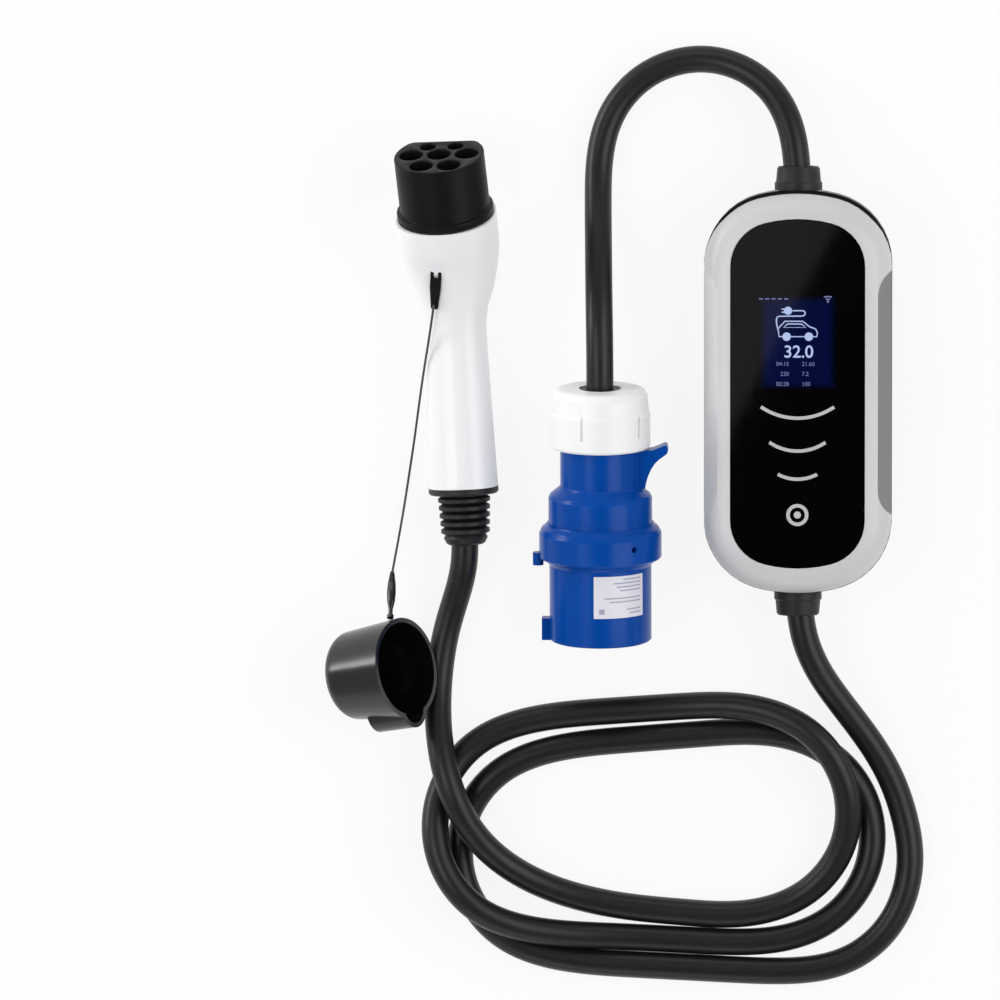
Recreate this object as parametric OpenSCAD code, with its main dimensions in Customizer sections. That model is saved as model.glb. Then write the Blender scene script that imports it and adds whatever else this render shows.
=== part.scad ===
// Portable charger for electric cars: a control box, a mains plug, a car connector and the leads
// between them, laid out on a table. Millimetres, +Z up. The origin is the centre of the control
// box's back face, and the box's display faces up.

/* [Control box] */
// Width of the control box
box_w = 110; // [104:1:118]
// Length of the control box
box_l = 236; // [226:1:246]
// Thickness of the control box
box_t = 60; // [56:1:66]
// Height of the line where the rear housing meets the bezel, which is also the lead height
split_z = 28; // [26:1:30]
// Radius of the broad arc at each end of the box
end_r = 95; // [85:1:105]
// Radius of the four corners of the box
corner_r = 42; // [38:1:46]
// Wall of both half shells
wall = 3; // [2.4:0.1:3.6]
// Rounding of the rear housing's back edge
back_round = 6; // [4:0.5:8]
// Rounding of the bezel from its side to its face
dome_r = 15.5; // [14:0.5:17]
// Width of the finger scoop in each long side of the bezel
scoop_w = 8; // [6:0.5:9]
// Length of the finger scoops
scoop_l = 150; // [120:2:160]
// Depth of the finger scoops down the bezel's side
scoop_d = 19; // [14:1:22]
// Radius of the finger scoops' ends
scoop_r = 18; // [14:1:24]
// Distance of the finger scoops below the bezel's face
scoop_drop = 3; // [2:0.5:4]

/* [Front panel] */
// Thickness of the front panel
panel_t = 3; // [2.5:0.1:3.5]
// Width of the ledge that carries the panel
ledge_w = 3.5; // [3:0.5:4.5]
// Thickness of that ledge
ledge_t = 3; // [2:0.5:4]
// Width of the display window
window_w = 47; // [42:1:50]
// Height of the display window
window_h = 57; // [50:1:62]
// Place of the display window above the middle of the panel
window_y = 30; // [26:1:34]
// Depth of the inlaid light bars and key marks
inlay_t = 1; // [0.6:0.1:1.4]
// Thickness of a light bar at its middle
bar_t = 2; // [1.5:0.1:2.6]
// Place of the touch key below the middle of the panel
key_y = 71; // [66:1:74]
// Outer radius of the ring round the touch key
key_r = 6.5; // [5.5:0.1:7.5]
// Width of that ring
key_band = 2.1; // [1.5:0.1:2.6]
// Radius of the dot on the touch key
key_dot_r = 2.1; // [1.5:0.1:2.6]

/* [Electronics] */
// Thickness of both circuit boards
board_t = 1.6; // [1:0.1:2]
// Width of the power board
power_board_w = 84; // [78:1:86]
// Length of the power board
power_board_l = 156; // [150:1:160]
// Height of the posts under the power board
post_h = 7; // [5:0.5:9]
// Width of the display board
display_board_w = 82; // [81:0.5:84]
// Length of the display board
display_board_l = 140; // [130:1:146]
// Room between the display board and the underside of the front panel
display_gap = 8; // [7:0.5:9]
// Height of a power relay
relay_h = 20; // [16:1:24]
// Height of the filter capacitors
capacitor_h = 19; // [14:1:24]
// Outer radius of the fault current sensor
sensor_r = 13; // [11:0.5:14]
// Height of the fault current sensor
sensor_h = 10; // [8:0.5:14]

/* [Cables and glands] */
// Diameter of both leads
cable_d = 16; // [14:0.5:16.5]
// Diameter of the wires inside the housings
wire_d = 3.2; // [2.4:0.2:3.6]
// Length of a gland outside the box
gland_out = 14; // [12:1:16]
// Radius of a gland's collar where it meets the box
gland_r = 14; // [13:0.5:15]
// Radius of a gland's neck in the wall
gland_neck_r = 11.5; // [10.5:0.5:12]

/* [Car connector] */
// Diameter of the connector's nose
nose_d = 53; // [52:0.5:55]
// Length of the nose in front of its flange
nose_l = 34; // [32:1:38]
// Distance from the middle of the nose to its flat side
nose_flat = 18.5; // [17.5:0.5:20]
// Diameter of the flange behind the nose
flange_d = 57; // [56:0.5:58]
// Thickness of that flange
flange_t = 4; // [3:0.5:5]
// Radius of the cavities for the power contacts
power_cavity_r = 7; // [6.4:0.1:7.2]
// Radius of the cavities for the signal contacts
signal_cavity_r = 4.7; // [4.2:0.1:4.9]
// Depth of the contact cavities
cavity_depth = 30; // [26:1:31]
// Length of the handle below the bend
handle_l = 119; // [112:1:126]
// Length of the head from the bend to the nose's gasket
head_l = 46; // [42:1:50]
// Wall of the two handle shells
shell_wall = 2.6; // [2.2:0.1:3]
// Angle by which the nose rises above the table
nose_rise = 22; // [18:1:25]
// Length of the strain relief boot
boot_l = 34; // [30:1:40]

/* [Dust cap] */
// Depth of the dust cap outside
cap_l = 44; // [40:1:48]
// Wall of the dust cap
cap_wall = 2.6; // [2:0.1:3]
// Diameter of the wire that holds the cap
tether_d = 1.4; // [1:0.1:1.8]

/* [Mains plug] */
// Outer radius of the plug's shroud
shroud_r = 30; // [29:0.5:31]
// Wall of the shroud
shroud_wall = 3; // [2.4:0.1:3.4]
// Length of the shroud in front of the flange
shroud_l = 50; // [46:1:54]
// Radius of the plug's flange
plug_flange_r = 36; // [35:0.5:37]
// Length of the flange
plug_flange_l = 20; // [17:1:22]
// Radius of the line and neutral pins
line_pin_r = 3; // [2.5:0.1:3.2]
// Radius of the earth pin
earth_pin_r = 4; // [3.5:0.1:4.3]
// Radius of the circle that the pins stand on
pin_circle_r = 13.5; // [12.5:0.5:14.5]
// Length of the gland nut
nut_l = 35; // [32:1:38]
// Radius of the gland nut
nut_r = 29.5; // [28.5:0.5:30.5]

/* [Fits] */
// Gap between pieces that slide together
fit = 0.2; // [0.1:0.05:0.3]

/* [Hidden] */
$fn = 48;
eps = 0.01;

// Control box: the plan is two broad end arcs joined to straight sides by four corner arcs
half_w = box_w / 2;
half_l = box_l / 2;
corner_x = half_w - corner_r;
end_y = half_l - end_r;
corner_y = end_y + sqrt(pow(end_r - corner_r, 2) - pow(corner_x, 2));
corner_sweep = atan2(corner_y - end_y, corner_x);
corner_steps = 8;
end_steps = 6;
dome_z = box_t - dome_r;
dome_steps = 6;
panel_inset = dome_r;
seat_z = box_t - panel_t - fit;
panel_top = seat_z + panel_t;
cavity_top = seat_z - ledge_t;
board_z = wall + post_h;
board_top = board_z + board_t;
display_z = seat_z - display_gap - board_t;
housing_screw_places = corners(half_w - 17, half_l - 46);
board_screw_places = corners(power_board_w / 2 - 8, power_board_l / 2 - 32);
display_screw_in = 2.5;
display_screw_places = corners(half_w - panel_inset - display_screw_in, display_board_l / 2 - 12);
display_ear_r = 3.8;
boss_r = 5;
screw_r = 1.8;
screw_head_r = 3.4;
screw_head_h = 2.4;
screw_bite = 12;
small_screw_r = 1.2;
small_head_r = 2.4;
small_head_h = 1.6;
small_bite = 5;
counterbore = 6;
seal_band = wall / 3;
seal_t = 1;
// Width, sag and lowest place of each light bar
light_bars = [[44, 6.8, -15.2], [34, 5.3, -34.5], [24, 3, -51]];
guide_w = 48;
guide_l = 52;
guide_low = -57;
guide_t = 3;
cable_r = cable_d / 2;
bore_r = cable_r + fit;
gland_bead = 5;
mouth_flare = 1.2;
mouth_l = 8;
gland_bead_r = gland_neck_r + 3;
gland_in = half_l - end_r + sqrt(pow(end_r - wall, 2) - pow(gland_bead_r, 2)) - fit;
clamp_post_x = cable_r + 7;
clamp_post_r = 4;
clamp_z = split_z + 2;
clamp_h = cable_r + 3;
clamp_w = 8;
clamp_y = gland_in - gland_bead - clamp_w / 2 - 3;
lead_end_y = clamp_y - clamp_w / 2 - 1;
terminal_size = [34, 12, 15];
terminal_y = power_board_l / 2 - terminal_size.y / 2 - 2;

// Connector: its own frame has Y up the handle, Z to the side that faces up, and the bend at the origin
head_depth = 24;
handle_end_r = 20;
boot_flange_r = handle_end_r + 0.6;
pitch = asin((head_depth - boot_flange_r) / handle_l);
bend = nose_rise - pitch;
connector_at = [-202.5, 61.3, head_depth + 0.1];
connector_turn = 2.6;
connector_roll = 8;
nose_base = head_l + 1;
nose_front = nose_base + flange_t;
nose_tip = nose_front + nose_l;
cavity_end = nose_tip - cavity_depth;
spigot_r = 23;
spigot_l = 12;
contact_r = 4;
contact_bore_r = 3;
signal_contact_r = 2.6;
signal_bore_r = 1.5;
contact_back = 12;
nose_corner_r = 6;
row_x = 16.5;
near_x = 8.2;
near_z = 15.5;
signal_x = 8.2;
signal_z = -11;
power_places = [[-row_x, 0], [0, 0], [row_x, 0]];
spare_places = [[-near_x, near_z], [near_x, near_z]];
signal_places = [[-signal_x, signal_z], [signal_x, signal_z]];
grip_sides = 32;
grip_power = 2.35;
// Sections of the handle and head, run past its face: distance from the bend, half width, half depth
grip_over = 5;
grip_sections = [
    [-handle_l, 20.2, handle_end_r], [-0.8 * handle_l, 19.5, 19.2], [-0.55 * handle_l, 18.6, 18.4],
    [-0.32 * handle_l, 17.8, 17.8], [-0.19 * handle_l, 17.7, 18.2], [-0.1 * handle_l, 19.4, 20.2],
    [-0.02 * handle_l, 23, 23], [0.2 * head_l, 26, 25], [0.45 * head_l, 28.4, 27],
    [0.7 * head_l, 29.2, 28.4], [head_l + grip_over, 29.4, 29],
];
grip_screw_places = [[-0.8 * handle_l, -11.5], [-0.35 * handle_l, -10.5]];
grip_boss_r = screw_head_r + fit + 1.2;
boot_flange_t = 4;
boot_rib_r = 15.4;
boot_ribs = 5;
anchor_at = [-6.5, 2, 22.5];
anchor_turn = -9;

// Dust cap: its own frame has Z out of its mouth
cap_r = nose_d / 2 + 0.8 + cap_wall;
cap_round = 8;
cap_taper = 3.5;
cap_at = [-266, -170, 19.2];
cap_rise = 33.5;
cap_turn = 11;
cap_lobe_r = 12;
cap_lobe_out = cap_r - 6.5;
cap_lobe_l = 26;
cap_eye_at = [-239.5, -133.8, 39];

// Plug: its own frame has Y from its mouth to its nut, and Z to the side that faces up
plug_tilt = atan((plug_flange_r - shroud_r) / shroud_l);
plug_at = [-116, -146.5, shroud_r * cos(plug_tilt)];
plug_joint = shroud_l + plug_flange_l;
body_r = 30.5;
rear_r = 23.5;
shoulder_y = plug_joint + 15;
rear_y = shoulder_y + 6;
rear_end = rear_y + 24;
handle_bore = rear_r - 4.5;
thread_r = rear_r - 2;
thread_l = 12;
seal_r = thread_r - 3;
nut_start = rear_end;
nut_end = nut_start + nut_l;
nut_hole_r = 12.4;
carrier_y = 40;
carrier_t = 14;
pin_start = 8;
pin_root_step = 0.4;
terminal_start = carrier_y + carrier_t;
terminal_l = 13;
line_pin_turns = [60, -60];
earth_pin_turn = 180;
label_start = 34;
label_sweep = 62;
label_y = 18;
label_h = 25;
label_t = 0.3;

// Routes of the leads, chosen by hand: x, y and z of the middle of the lead
lay_z = cable_r + 0.2;
mains_route = [
    [0, 98, 28], [0, 134, 28], [-4, 162, 24], [-24, 187, 14.5], [-57, 197.5, 8.2], [-91, 187.5, 8.2],
    [-112, 163, 8.2], [-118, 136, 9.5], [-118, 112, 17], [-117.5, 90, 28], [-117, 68, 38.5],
    [-116.5, 46, 46.5], [-116, 24, 50], [-116, 2.5, 47.7], [-116, -20.5, 45],
];
vehicle_start = [
    [0, -98, 28], [0, -132, 28], [6, -157, 26], [22, -181, 19], [40, -204, 11.5],
    [55, -228, 8.2], [64, -255, 8.2],
];
vehicle_end = [
    [-68, -310, 8.2], [-105, -307, 8.2], [-140, -299, 10], [-167, -286, 15.5], [-187, -269, 23],
    [-200, -248, 31], [-208.5, -224, 30.5], [-212.5, -199, 20], [-212.5, -173, 9.5],
    [-209, -147, 8.2], [-202.5, -126, 11.5], [-196.8, -108, 18], [-195.5, -90, 19.8], [-197.8, -42, 21.2],
];
tether_route = [
    [-213.5, 51, 47], [-216, 34, 43], [-219, 18, 33], [-223, -6, 19], [-226.5, -31, 8],
    [-230, -52, 2.4], [-233, -72, 2.4], [-236, -90, 9], [-239, -108, 23],
];
// The coil's bends: centre x and y, first angle, sweep, steps, and the place and height of a crossing
coil_r = 64;
coil_bends = [
    [4, -282, 0, 90, 3, [0, 0], 0],
    [-140, -275, -90, 180, 5, [0, 0], 0],
    [-16, -265, 90, 180, 5, [0, 0], 0],
    [-154, -258, -90, 180, 5, [-199, -297], 21],
    [-30, -249, 90, 180, 5, [14, -213], 21],
];
crossing_reach = 100;

// Four places, one in each quarter
function corners(x, y) = [[x, y], [-x, y], [x, -y], [-x, -y]];

// A power with the sign of its base
function signed_pow(v, e) = sign(v) * pow(abs(v), e);

// A vector of length one
function unit(v) = v / norm(v);

// A closed oval between an ellipse and a rectangle, as a list of points
function oval(a, b) = [
    for (i = [0 : grip_sides - 1])
        let (t = 360 * i / grip_sides)
        [a * signed_pow(cos(t), 2 / grip_power), b * signed_pow(sin(t), 2 / grip_power)]
];

// Points along an arc, both ends included
function arc(x, y, r, first, last, steps) = [
    for (i = [0 : steps])
        let (a = first + (last - first) * i / steps)
        [x + r * cos(a), y + r * sin(a)]
];

// One half of the box's plan, moved inward by an inset
function half_plan(inset) = concat(
    arc(corner_x, corner_y, corner_r - inset, 0, corner_sweep, corner_steps),
    [
        for (p = arc(0, end_y, end_r - inset, corner_sweep, 180 - corner_sweep, end_steps))
            if (abs(p.x) < (end_r - inset) * cos(corner_sweep) - eps) p
    ],
    arc(-corner_x, corner_y, corner_r - inset, 180 - corner_sweep, 180, corner_steps)
);

// The whole plan, moved inward by an inset
function plan(inset) = concat(half_plan(inset), [for (p = half_plan(inset)) -p]);

// A list of plan points raised to a height
function raised(points, z) = [for (p = points) [p.x, p.y, z]];

// The smooth curve that a route's points pull: each inner point is drawn in by its neighbours
function eased(route) = [
    for (i = [0 : len(route) - 1])
        i == 0 || i == len(route) - 1 ? route[i] : (route[i - 1] + 4 * route[i] + route[i + 1]) / 6
];

// Direction of a route at one of its points
function heading(route, i) =
    unit(route[min(i + 1, len(route) - 1)] - route[max(i - 1, 0)]);

// A ring of points round a route at one of its points
function route_ring(route, i, r, sides) =
    let (
        t = heading(route, i),
        side = unit(cross(t, [0, 0, 1])),
        up = cross(side, t)
    )
    [for (k = [0 : sides - 1]) route[i] + r * (cos(360 * k / sides) * up + sin(360 * k / sides) * side)];

// Height of a coil point above the table, which rises where the lead crosses itself
function crossing_lift(p, b) =
    let (d = norm(p - b[5]))
    d < crossing_reach ? b[6] * (1 + cos(180 * d / crossing_reach)) / 2 : 0;

// A coil point in space
function coil_point(p, b) = [p.x, p.y, lay_z + crossing_lift(p, b)];

// The plan points of one bend of the coil
function bend_plan(b) = arc(b[0], b[1], coil_r, b[2], b[2] - b[3], b[4]);

// The two points of the straight run that leads into a bend
function run_plan(p, q) = [for (i = [1, 2]) p + (q - p) * i / 3];

// All turns of the coil, each bend with the straight run before it
function coil_route() = [
    for (k = [0 : len(coil_bends) - 1])
        let (
            b = coil_bends[k],
            turn = bend_plan(b),
            last = k > 0 ? bend_plan(coil_bends[k - 1]) : [],
            run = k > 0 ? run_plan(last[len(last) - 1], turn[0]) : []
        )
        for (p = concat(run, turn)) coil_point(p, b)
];

// A solid skinned over a list of rings with the same number of points
module skin(rings) {
    n = len(rings[0]);
    m = len(rings);
    points = [for (r = rings) for (p = r) p];
    sides = [
        for (i = [0 : m - 2])
            for (j = [0 : n - 1])
                let (a = i * n + j, b = i * n + (j + 1) % n)
                for (f = [[a, a + n, b + n], [a, b + n, b]]) f
    ];
    first = [for (j = [0 : n - 1]) j];
    last = [for (j = [n - 1 : -1 : 0]) (m - 1) * n + j];
    polyhedron(points = points, faces = concat([first], sides, [last]));
}

// A round tube along a route
module tube(route, r, sides) {
    skin([for (i = [0 : len(route) - 1]) route_ring(route, i, r, sides)]);
}

// A flat slab with the box's plan
module plan_slab(inset, z, h) {
    translate([0, 0, z])
        linear_extrude(h)
            polygon(plan(inset));
}

// A cylinder along Y, from one Y to another
module rod(y0, y1, r) {
    translate([0, y0, 0])
        rotate([-90, 0, 0])
            cylinder(r = r, h = y1 - y0);
}

// A solid turned about the Y axis from a profile of radius and place along Y
module turned(profile) {
    rotate([-90, 0, 0])
        mirror([0, 1, 0])
            rotate_extrude()
                polygon(profile);
}

// A screw that points up, with the underside of its head at the origin
module screw(head_r, head_h, shank_r, shank_l) {
    translate([0, 0, -head_h])
        cylinder(r = head_r, h = head_h);
    translate([0, 0, -eps])
        cylinder(r = shank_r, h = shank_l + eps);
}

// Copies of a shape at a list of plan places
module at_places(places, z) {
    for (p = places)
        translate([p.x, p.y, z])
            children();
}

// The hole for a gland's neck at each end of the box
module gland_holes() {
    for (s = [-1, 1])
        translate([0, s * half_l, split_z])
            rotate([90, 0, 0])
                cylinder(r = gland_neck_r + fit, h = 4 * wall + 2 * end_steps, center = true);
}

// The space that the bezel's dome leaves inside
module bezel_cavity() {
    inner_r = dome_r - wall;
    rise = cavity_top - dome_z;
    top_angle = asin(min(1, rise / inner_r));
    difference() {
        skin(concat(
            [raised(plan(wall), split_z - 1)],
            [
                for (i = [0 : dome_steps])
                    let (a = top_angle * i / dome_steps)
                    raised(plan(dome_r - inner_r * cos(a)), dome_z + inner_r * sin(a))
            ]
        ));
        for (s = [-1, 1])
            translate([s * half_w, 0, box_t - scoop_d - wall + box_t / 2])
                cube([2 * (scoop_w + wall), scoop_l + 2 * wall, box_t], center = true);
    }
}

// One finger scoop, cut from the right side of the bezel
module scoop() {
    slope = atan2(scoop_d, scoop_w);
    intersection() {
        translate([half_w - scoop_w, 0, split_z + 1])
            linear_extrude(box_t)
                union() {
                    translate([0, scoop_r - scoop_l / 2])
                        square([2 * scoop_w, scoop_l - 2 * scoop_r]);
                    for (s = [-1, 1])
                        translate([scoop_r, s * (scoop_l / 2 - scoop_r)])
                            circle(scoop_r);
                }
        translate([half_w, 0, box_t - scoop_d - scoop_drop])
            rotate([0, slope, 0])
                translate([-2 * box_t, -scoop_l, 0])
                    cube([3 * box_t, 2 * scoop_l, box_t]);
    }
}

// Clamp posts at one end of the rear housing
module clamp_posts() {
    for (s = [-1, 1])
        for (x = [-clamp_post_x, clamp_post_x])
            translate([x, s * clamp_y, wall - eps])
                cylinder(r = clamp_post_r, h = clamp_z - wall + eps);
}

module rear_housing() {
    color("#17181a")
        difference() {
            union() {
                difference() {
                    skin(concat(
                        [
                            for (i = [0 : 4])
                                let (a = 90 * i / 4)
                                raised(plan(back_round * (1 - sin(a))), back_round * (1 - cos(a)))
                        ],
                        [raised(plan(0), split_z)]
                    ));
                    plan_slab(wall, wall, split_z);
                }
                at_places(housing_screw_places, wall - eps)
                    cylinder(r = boss_r, h = split_z - wall + eps);
                at_places(board_screw_places, wall - eps)
                    cylinder(r = 3.5, h = post_h + eps);
                clamp_posts();
            }
            gland_holes();
            at_places(housing_screw_places, -1) {
                cylinder(r = screw_r + fit, h = split_z + 2);
                cylinder(r = screw_head_r + fit, h = counterbore + 1);
            }
            at_places(board_screw_places, wall)
                cylinder(r = small_screw_r, h = post_h + 1);
            for (s = [-1, 1])
                at_places([[clamp_post_x, s * clamp_y], [-clamp_post_x, s * clamp_y]], wall + 3)
                    cylinder(r = screw_r, h = clamp_z);
        }
}

module front_bezel() {
    color("#d9dadf")
        difference() {
            union() {
                difference() {
                    skin(concat(
                        [raised(plan(0), split_z)],
                        [
                            for (i = [0 : dome_steps])
                                let (a = 90 * i / dome_steps)
                                raised(plan(dome_r * (1 - cos(a))), dome_z + dome_r * sin(a))
                        ]
                    ));
                    bezel_cavity();
                    plan_slab(panel_inset + ledge_w, cavity_top - 1, box_t);
                    plan_slab(panel_inset, seat_z, box_t);
                    scoop();
                    mirror([1, 0, 0])
                        scoop();
                }
                at_places(housing_screw_places, split_z)
                    cylinder(r = boss_r, h = cavity_top - split_z + eps);
                at_places(display_screw_places, display_z + board_t)
                    cylinder(r = 2.6, h = cavity_top - display_z - board_t + eps);
            }
            gland_holes();
            at_places(housing_screw_places, split_z - 1)
                cylinder(r = screw_r, h = 14);
            at_places(display_screw_places, display_z)
                cylinder(r = small_screw_r, h = 5);
            difference() {
                plan_slab(seal_band, split_z - 1, 1 + seal_t);
                plan_slab(wall - seal_band, split_z - 2, 4);
            }
        }
}

module housing_seal() {
    color("#2b2b2d")
        difference() {
            plan_slab(seal_band, split_z, seal_t);
            plan_slab(wall - seal_band, split_z - 1, 4);
            gland_holes();
        }
}

module housing_screws() {
    color("#9a9a9a")
        at_places(housing_screw_places, counterbore)
            screw(screw_head_r, screw_head_h, screw_r, split_z - counterbore + screw_bite);
}

// A bowed band of one thickness with its tips level, given its width and its sag
module arc_band(width, sag, thickness) {
    w = width / 2;
    outer_r = (w * w + sag * sag) / (2 * sag);
    spread = asin(w / outer_r);
    far = 2 * outer_r;
    translate([0, outer_r - sag])
        intersection() {
            difference() {
                circle(outer_r, $fn = 180);
                circle(outer_r - thickness, $fn = 180);
            }
            polygon([
                [0, 0], [-far * sin(spread), -far * cos(spread)], [far * sin(spread), -far * cos(spread)],
            ]);
        }
}

// One inlaid light bar, or the pocket for it
module light_bar(bar) {
    translate([0, bar[2] + bar[1], panel_top - inlay_t])
        linear_extrude(inlay_t)
            arc_band(bar[0], bar[1], bar_t);
}

// A cylinder for the touch key's marks
module key_disc(r, z, h) {
    translate([0, -key_y, z])
        cylinder(r = r, h = h);
}

module front_panel() {
    color("#070708")
        difference() {
            plan_slab(panel_inset + fit, seat_z, panel_t);
            translate([0, window_y, seat_z])
                cube([window_w, window_h, 3 * panel_t], center = true);
            for (bar = light_bars)
                light_bar(bar);
            difference() {
                key_disc(key_r, panel_top - inlay_t, 2 * inlay_t);
                key_disc(key_r - key_band, panel_top - 2 * inlay_t, 4 * inlay_t);
            }
            key_disc(key_dot_r, panel_top - inlay_t, 2 * inlay_t);
        }
}

module display_window() {
    color("#0b1e5c")
        translate([-window_w / 2, window_y - window_h / 2, seat_z])
            cube([window_w, window_h, panel_t]);
}

module display_module() {
    color("#2a2d33")
        translate([-window_w / 2 - 3, window_y - window_h / 2 - 3, display_z + board_t])
            cube([window_w + 6, window_h + 6, seat_z - display_z - board_t]);
}

// An ear of the display board round a screw, which reaches back into the board
module display_ear(inward) {
    cylinder(r = display_ear_r, h = board_t);
    translate([inward > 0 ? 0 : -2 * display_ear_r, -display_ear_r, 0])
        cube([2 * display_ear_r, 2 * display_ear_r, board_t]);
}

module display_board() {
    color("#0d5c33")
        difference() {
            union() {
                translate([-display_board_w / 2, -display_board_l / 2, display_z])
                    cube([display_board_w, display_board_l, board_t]);
                for (p = display_screw_places)
                    translate([p.x, p.y, display_z])
                        display_ear(-sign(p.x));
            }
            at_places(display_screw_places, display_z - 1)
                cylinder(r = small_screw_r + fit, h = board_t + 2);
            at_places(housing_screw_places, display_z - 1)
                cylinder(r = boss_r + 1, h = board_t + 2);
        }
}

module display_screws() {
    color("#9a9a9a")
        at_places(display_screw_places, display_z)
            screw(small_head_r, small_head_h, small_screw_r, board_t + 3);
}

module light_bar_large() {
    color("#d8dade")
        light_bar(light_bars[0]);
}

module light_bar_medium() {
    color("#d8dade")
        light_bar(light_bars[1]);
}

module light_bar_small() {
    color("#d8dade")
        light_bar(light_bars[2]);
}

module light_guide() {
    color("#e8eef2")
        translate([-guide_w / 2, guide_low, seat_z - guide_t])
            cube([guide_w, guide_l, guide_t]);
}

module touch_key_ring() {
    color("#d8dade")
        difference() {
            key_disc(key_r, panel_top - inlay_t, inlay_t);
            key_disc(key_r - key_band, panel_top - 2 * inlay_t, 4 * inlay_t);
        }
}

module touch_key_dot() {
    color("#d8dade")
        key_disc(key_dot_r, panel_top - inlay_t, inlay_t);
}

module touch_post() {
    color("#c9a86a")
        difference() {
            key_disc(key_r - 1, display_z + board_t, seat_z - display_z - board_t);
            key_disc(key_r - 2, display_z, 2 * display_gap);
        }
}

module power_board() {
    color("#0d5c33")
        difference() {
            translate([-power_board_w / 2, -power_board_l / 2, board_z])
                cube([power_board_w, power_board_l, board_t]);
            at_places(board_screw_places, board_z - 1)
                cylinder(r = small_screw_r + fit, h = board_t + 2);
            for (p = housing_screw_places)
                translate([p.x + sign(p.x) * boss_r, p.y + sign(p.y) * 2 * boss_r, board_z])
                    cube([4 * boss_r + 2, 6 * boss_r + 2, 3 * board_t], center = true);
        }
}

module board_screws() {
    color("#9a9a9a")
        at_places(board_screw_places, board_top)
            mirror([0, 0, 1])
                screw(small_head_r, small_head_h, small_screw_r, board_t + small_bite);
}

// A block that stands on the power board
module on_board(x, y, size) {
    translate([x - size.x / 2, y - size.y / 2, board_top])
        cube(size);
}

module power_relays() {
    color("#1d1d1f")
        for (x = [-11, 11])
            on_board(x, 34, [17, 29, relay_h]);
}

module current_sensor() {
    color("#3a3a3c")
        translate([0, -2, board_top])
            difference() {
                cylinder(r = sensor_r, h = sensor_h);
                translate([0, 0, -1])
                    cylinder(r = sensor_r - 6, h = sensor_h + 2);
            }
}

module power_supply() {
    color("#e0c65a")
        on_board(-16, -34, [26, 22, 18]);
}

module filter_capacitors() {
    color("#22324a")
        for (y = [-28, -43])
            translate([13, y, board_top])
                cylinder(r = 6.5, h = capacitor_h);
}

module mains_terminal() {
    color("#2f6b3a")
        on_board(0, terminal_y, terminal_size);
}

module vehicle_terminal() {
    color("#2f6b3a")
        on_board(0, -terminal_y, terminal_size);
}

module controller_chip() {
    color("#151516")
        on_board(29, 2, [14, 14, 1.8]);
}

module display_ribbon() {
    color("#c8ccd2")
        translate([-38, -8, board_top])
            cube([0.8, 20, display_z - board_top]);
}

// A gland clamped between the half shells: collar outside, neck in the wall, bead inside
module gland() {
    wall_out = half_l + fit;
    turned([
        [bore_r, gland_in - gland_bead], [gland_bead_r, gland_in - gland_bead],
        [gland_bead_r, gland_in], [gland_neck_r, gland_in], [gland_neck_r, wall_out],
        [gland_r, wall_out], [gland_r, wall_out + 0.3 * gland_out],
        [gland_r - 0.8, wall_out + 0.36 * gland_out], [gland_r - 1.5, half_l + gland_out - 1],
        [gland_r - 2.5, half_l + gland_out], [bore_r + mouth_flare, half_l + gland_out],
        [bore_r, half_l + gland_out - mouth_l],
    ]);
}

module mains_gland() {
    color("#1a1a1b")
        translate([0, 0, split_z])
            gland();
}

module vehicle_gland() {
    color("#1a1a1b")
        translate([0, 0, split_z])
            mirror([0, 1, 0])
                gland();
}

// A saddle that presses a lead down inside the box
module cable_clamp() {
    difference() {
        translate([-clamp_post_x - clamp_post_r, clamp_y - clamp_w / 2, clamp_z])
            cube([2 * (clamp_post_x + clamp_post_r), clamp_w, clamp_h]);
        translate([0, 0, split_z])
            rod(clamp_y - clamp_w, clamp_y + clamp_w, cable_r);
        at_places([[clamp_post_x, clamp_y], [-clamp_post_x, clamp_y]], clamp_z - 1)
            cylinder(r = screw_r + fit, h = clamp_h + 2);
    }
}

module mains_clamp() {
    color("#303134")
        cable_clamp();
}

module vehicle_clamp() {
    color("#303134")
        mirror([0, 1, 0])
            cable_clamp();
}

module clamp_screws() {
    color("#9a9a9a")
        for (s = [-1, 1])
            at_places([[clamp_post_x, s * clamp_y], [-clamp_post_x, s * clamp_y]], clamp_z + clamp_h)
                mirror([0, 0, 1])
                    screw(screw_head_r, screw_head_h, screw_r, clamp_h + screw_bite);
}

// Three wires from the end of a lead down to a terminal block
module box_wires() {
    top = board_top + terminal_size.z;
    for (k = [-1 : 1])
        tube([
            [5 * k, lead_end_y - fit, split_z], [5 * k, lead_end_y - 3, split_z],
            [8 * k, lead_end_y - 9, split_z + 2.5], [10 * k, terminal_y + 8, split_z + 2.5],
            [10 * k, terminal_y + 2, top + wire_d / 2],
        ], wire_d / 2, 8);
}

module mains_wires() {
    color("#8a4b2a")
        box_wires();
}

module vehicle_wires() {
    color("#8a4b2a")
        mirror([0, 1, 0])
            box_wires();
}

module mains_lead() {
    color("#1b1b1c")
        tube(eased(mains_route), cable_r, 10);
}

module vehicle_lead() {
    color("#1b1b1c")
        tube(eased(concat(vehicle_start, coil_route(), vehicle_end)), cable_r, 10);
}

// Places the connector on the table
module connector_place() {
    translate(connector_at)
        rotate([0, 0, connector_turn])
            rotate([pitch, 0, 0])
                rotate([0, -connector_roll, 0])
                    children();
}

// Turns a shape from the handle's direction to the nose's
module nose_place() {
    connector_place()
        rotate([bend, 0, 0])
            children();
}

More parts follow.
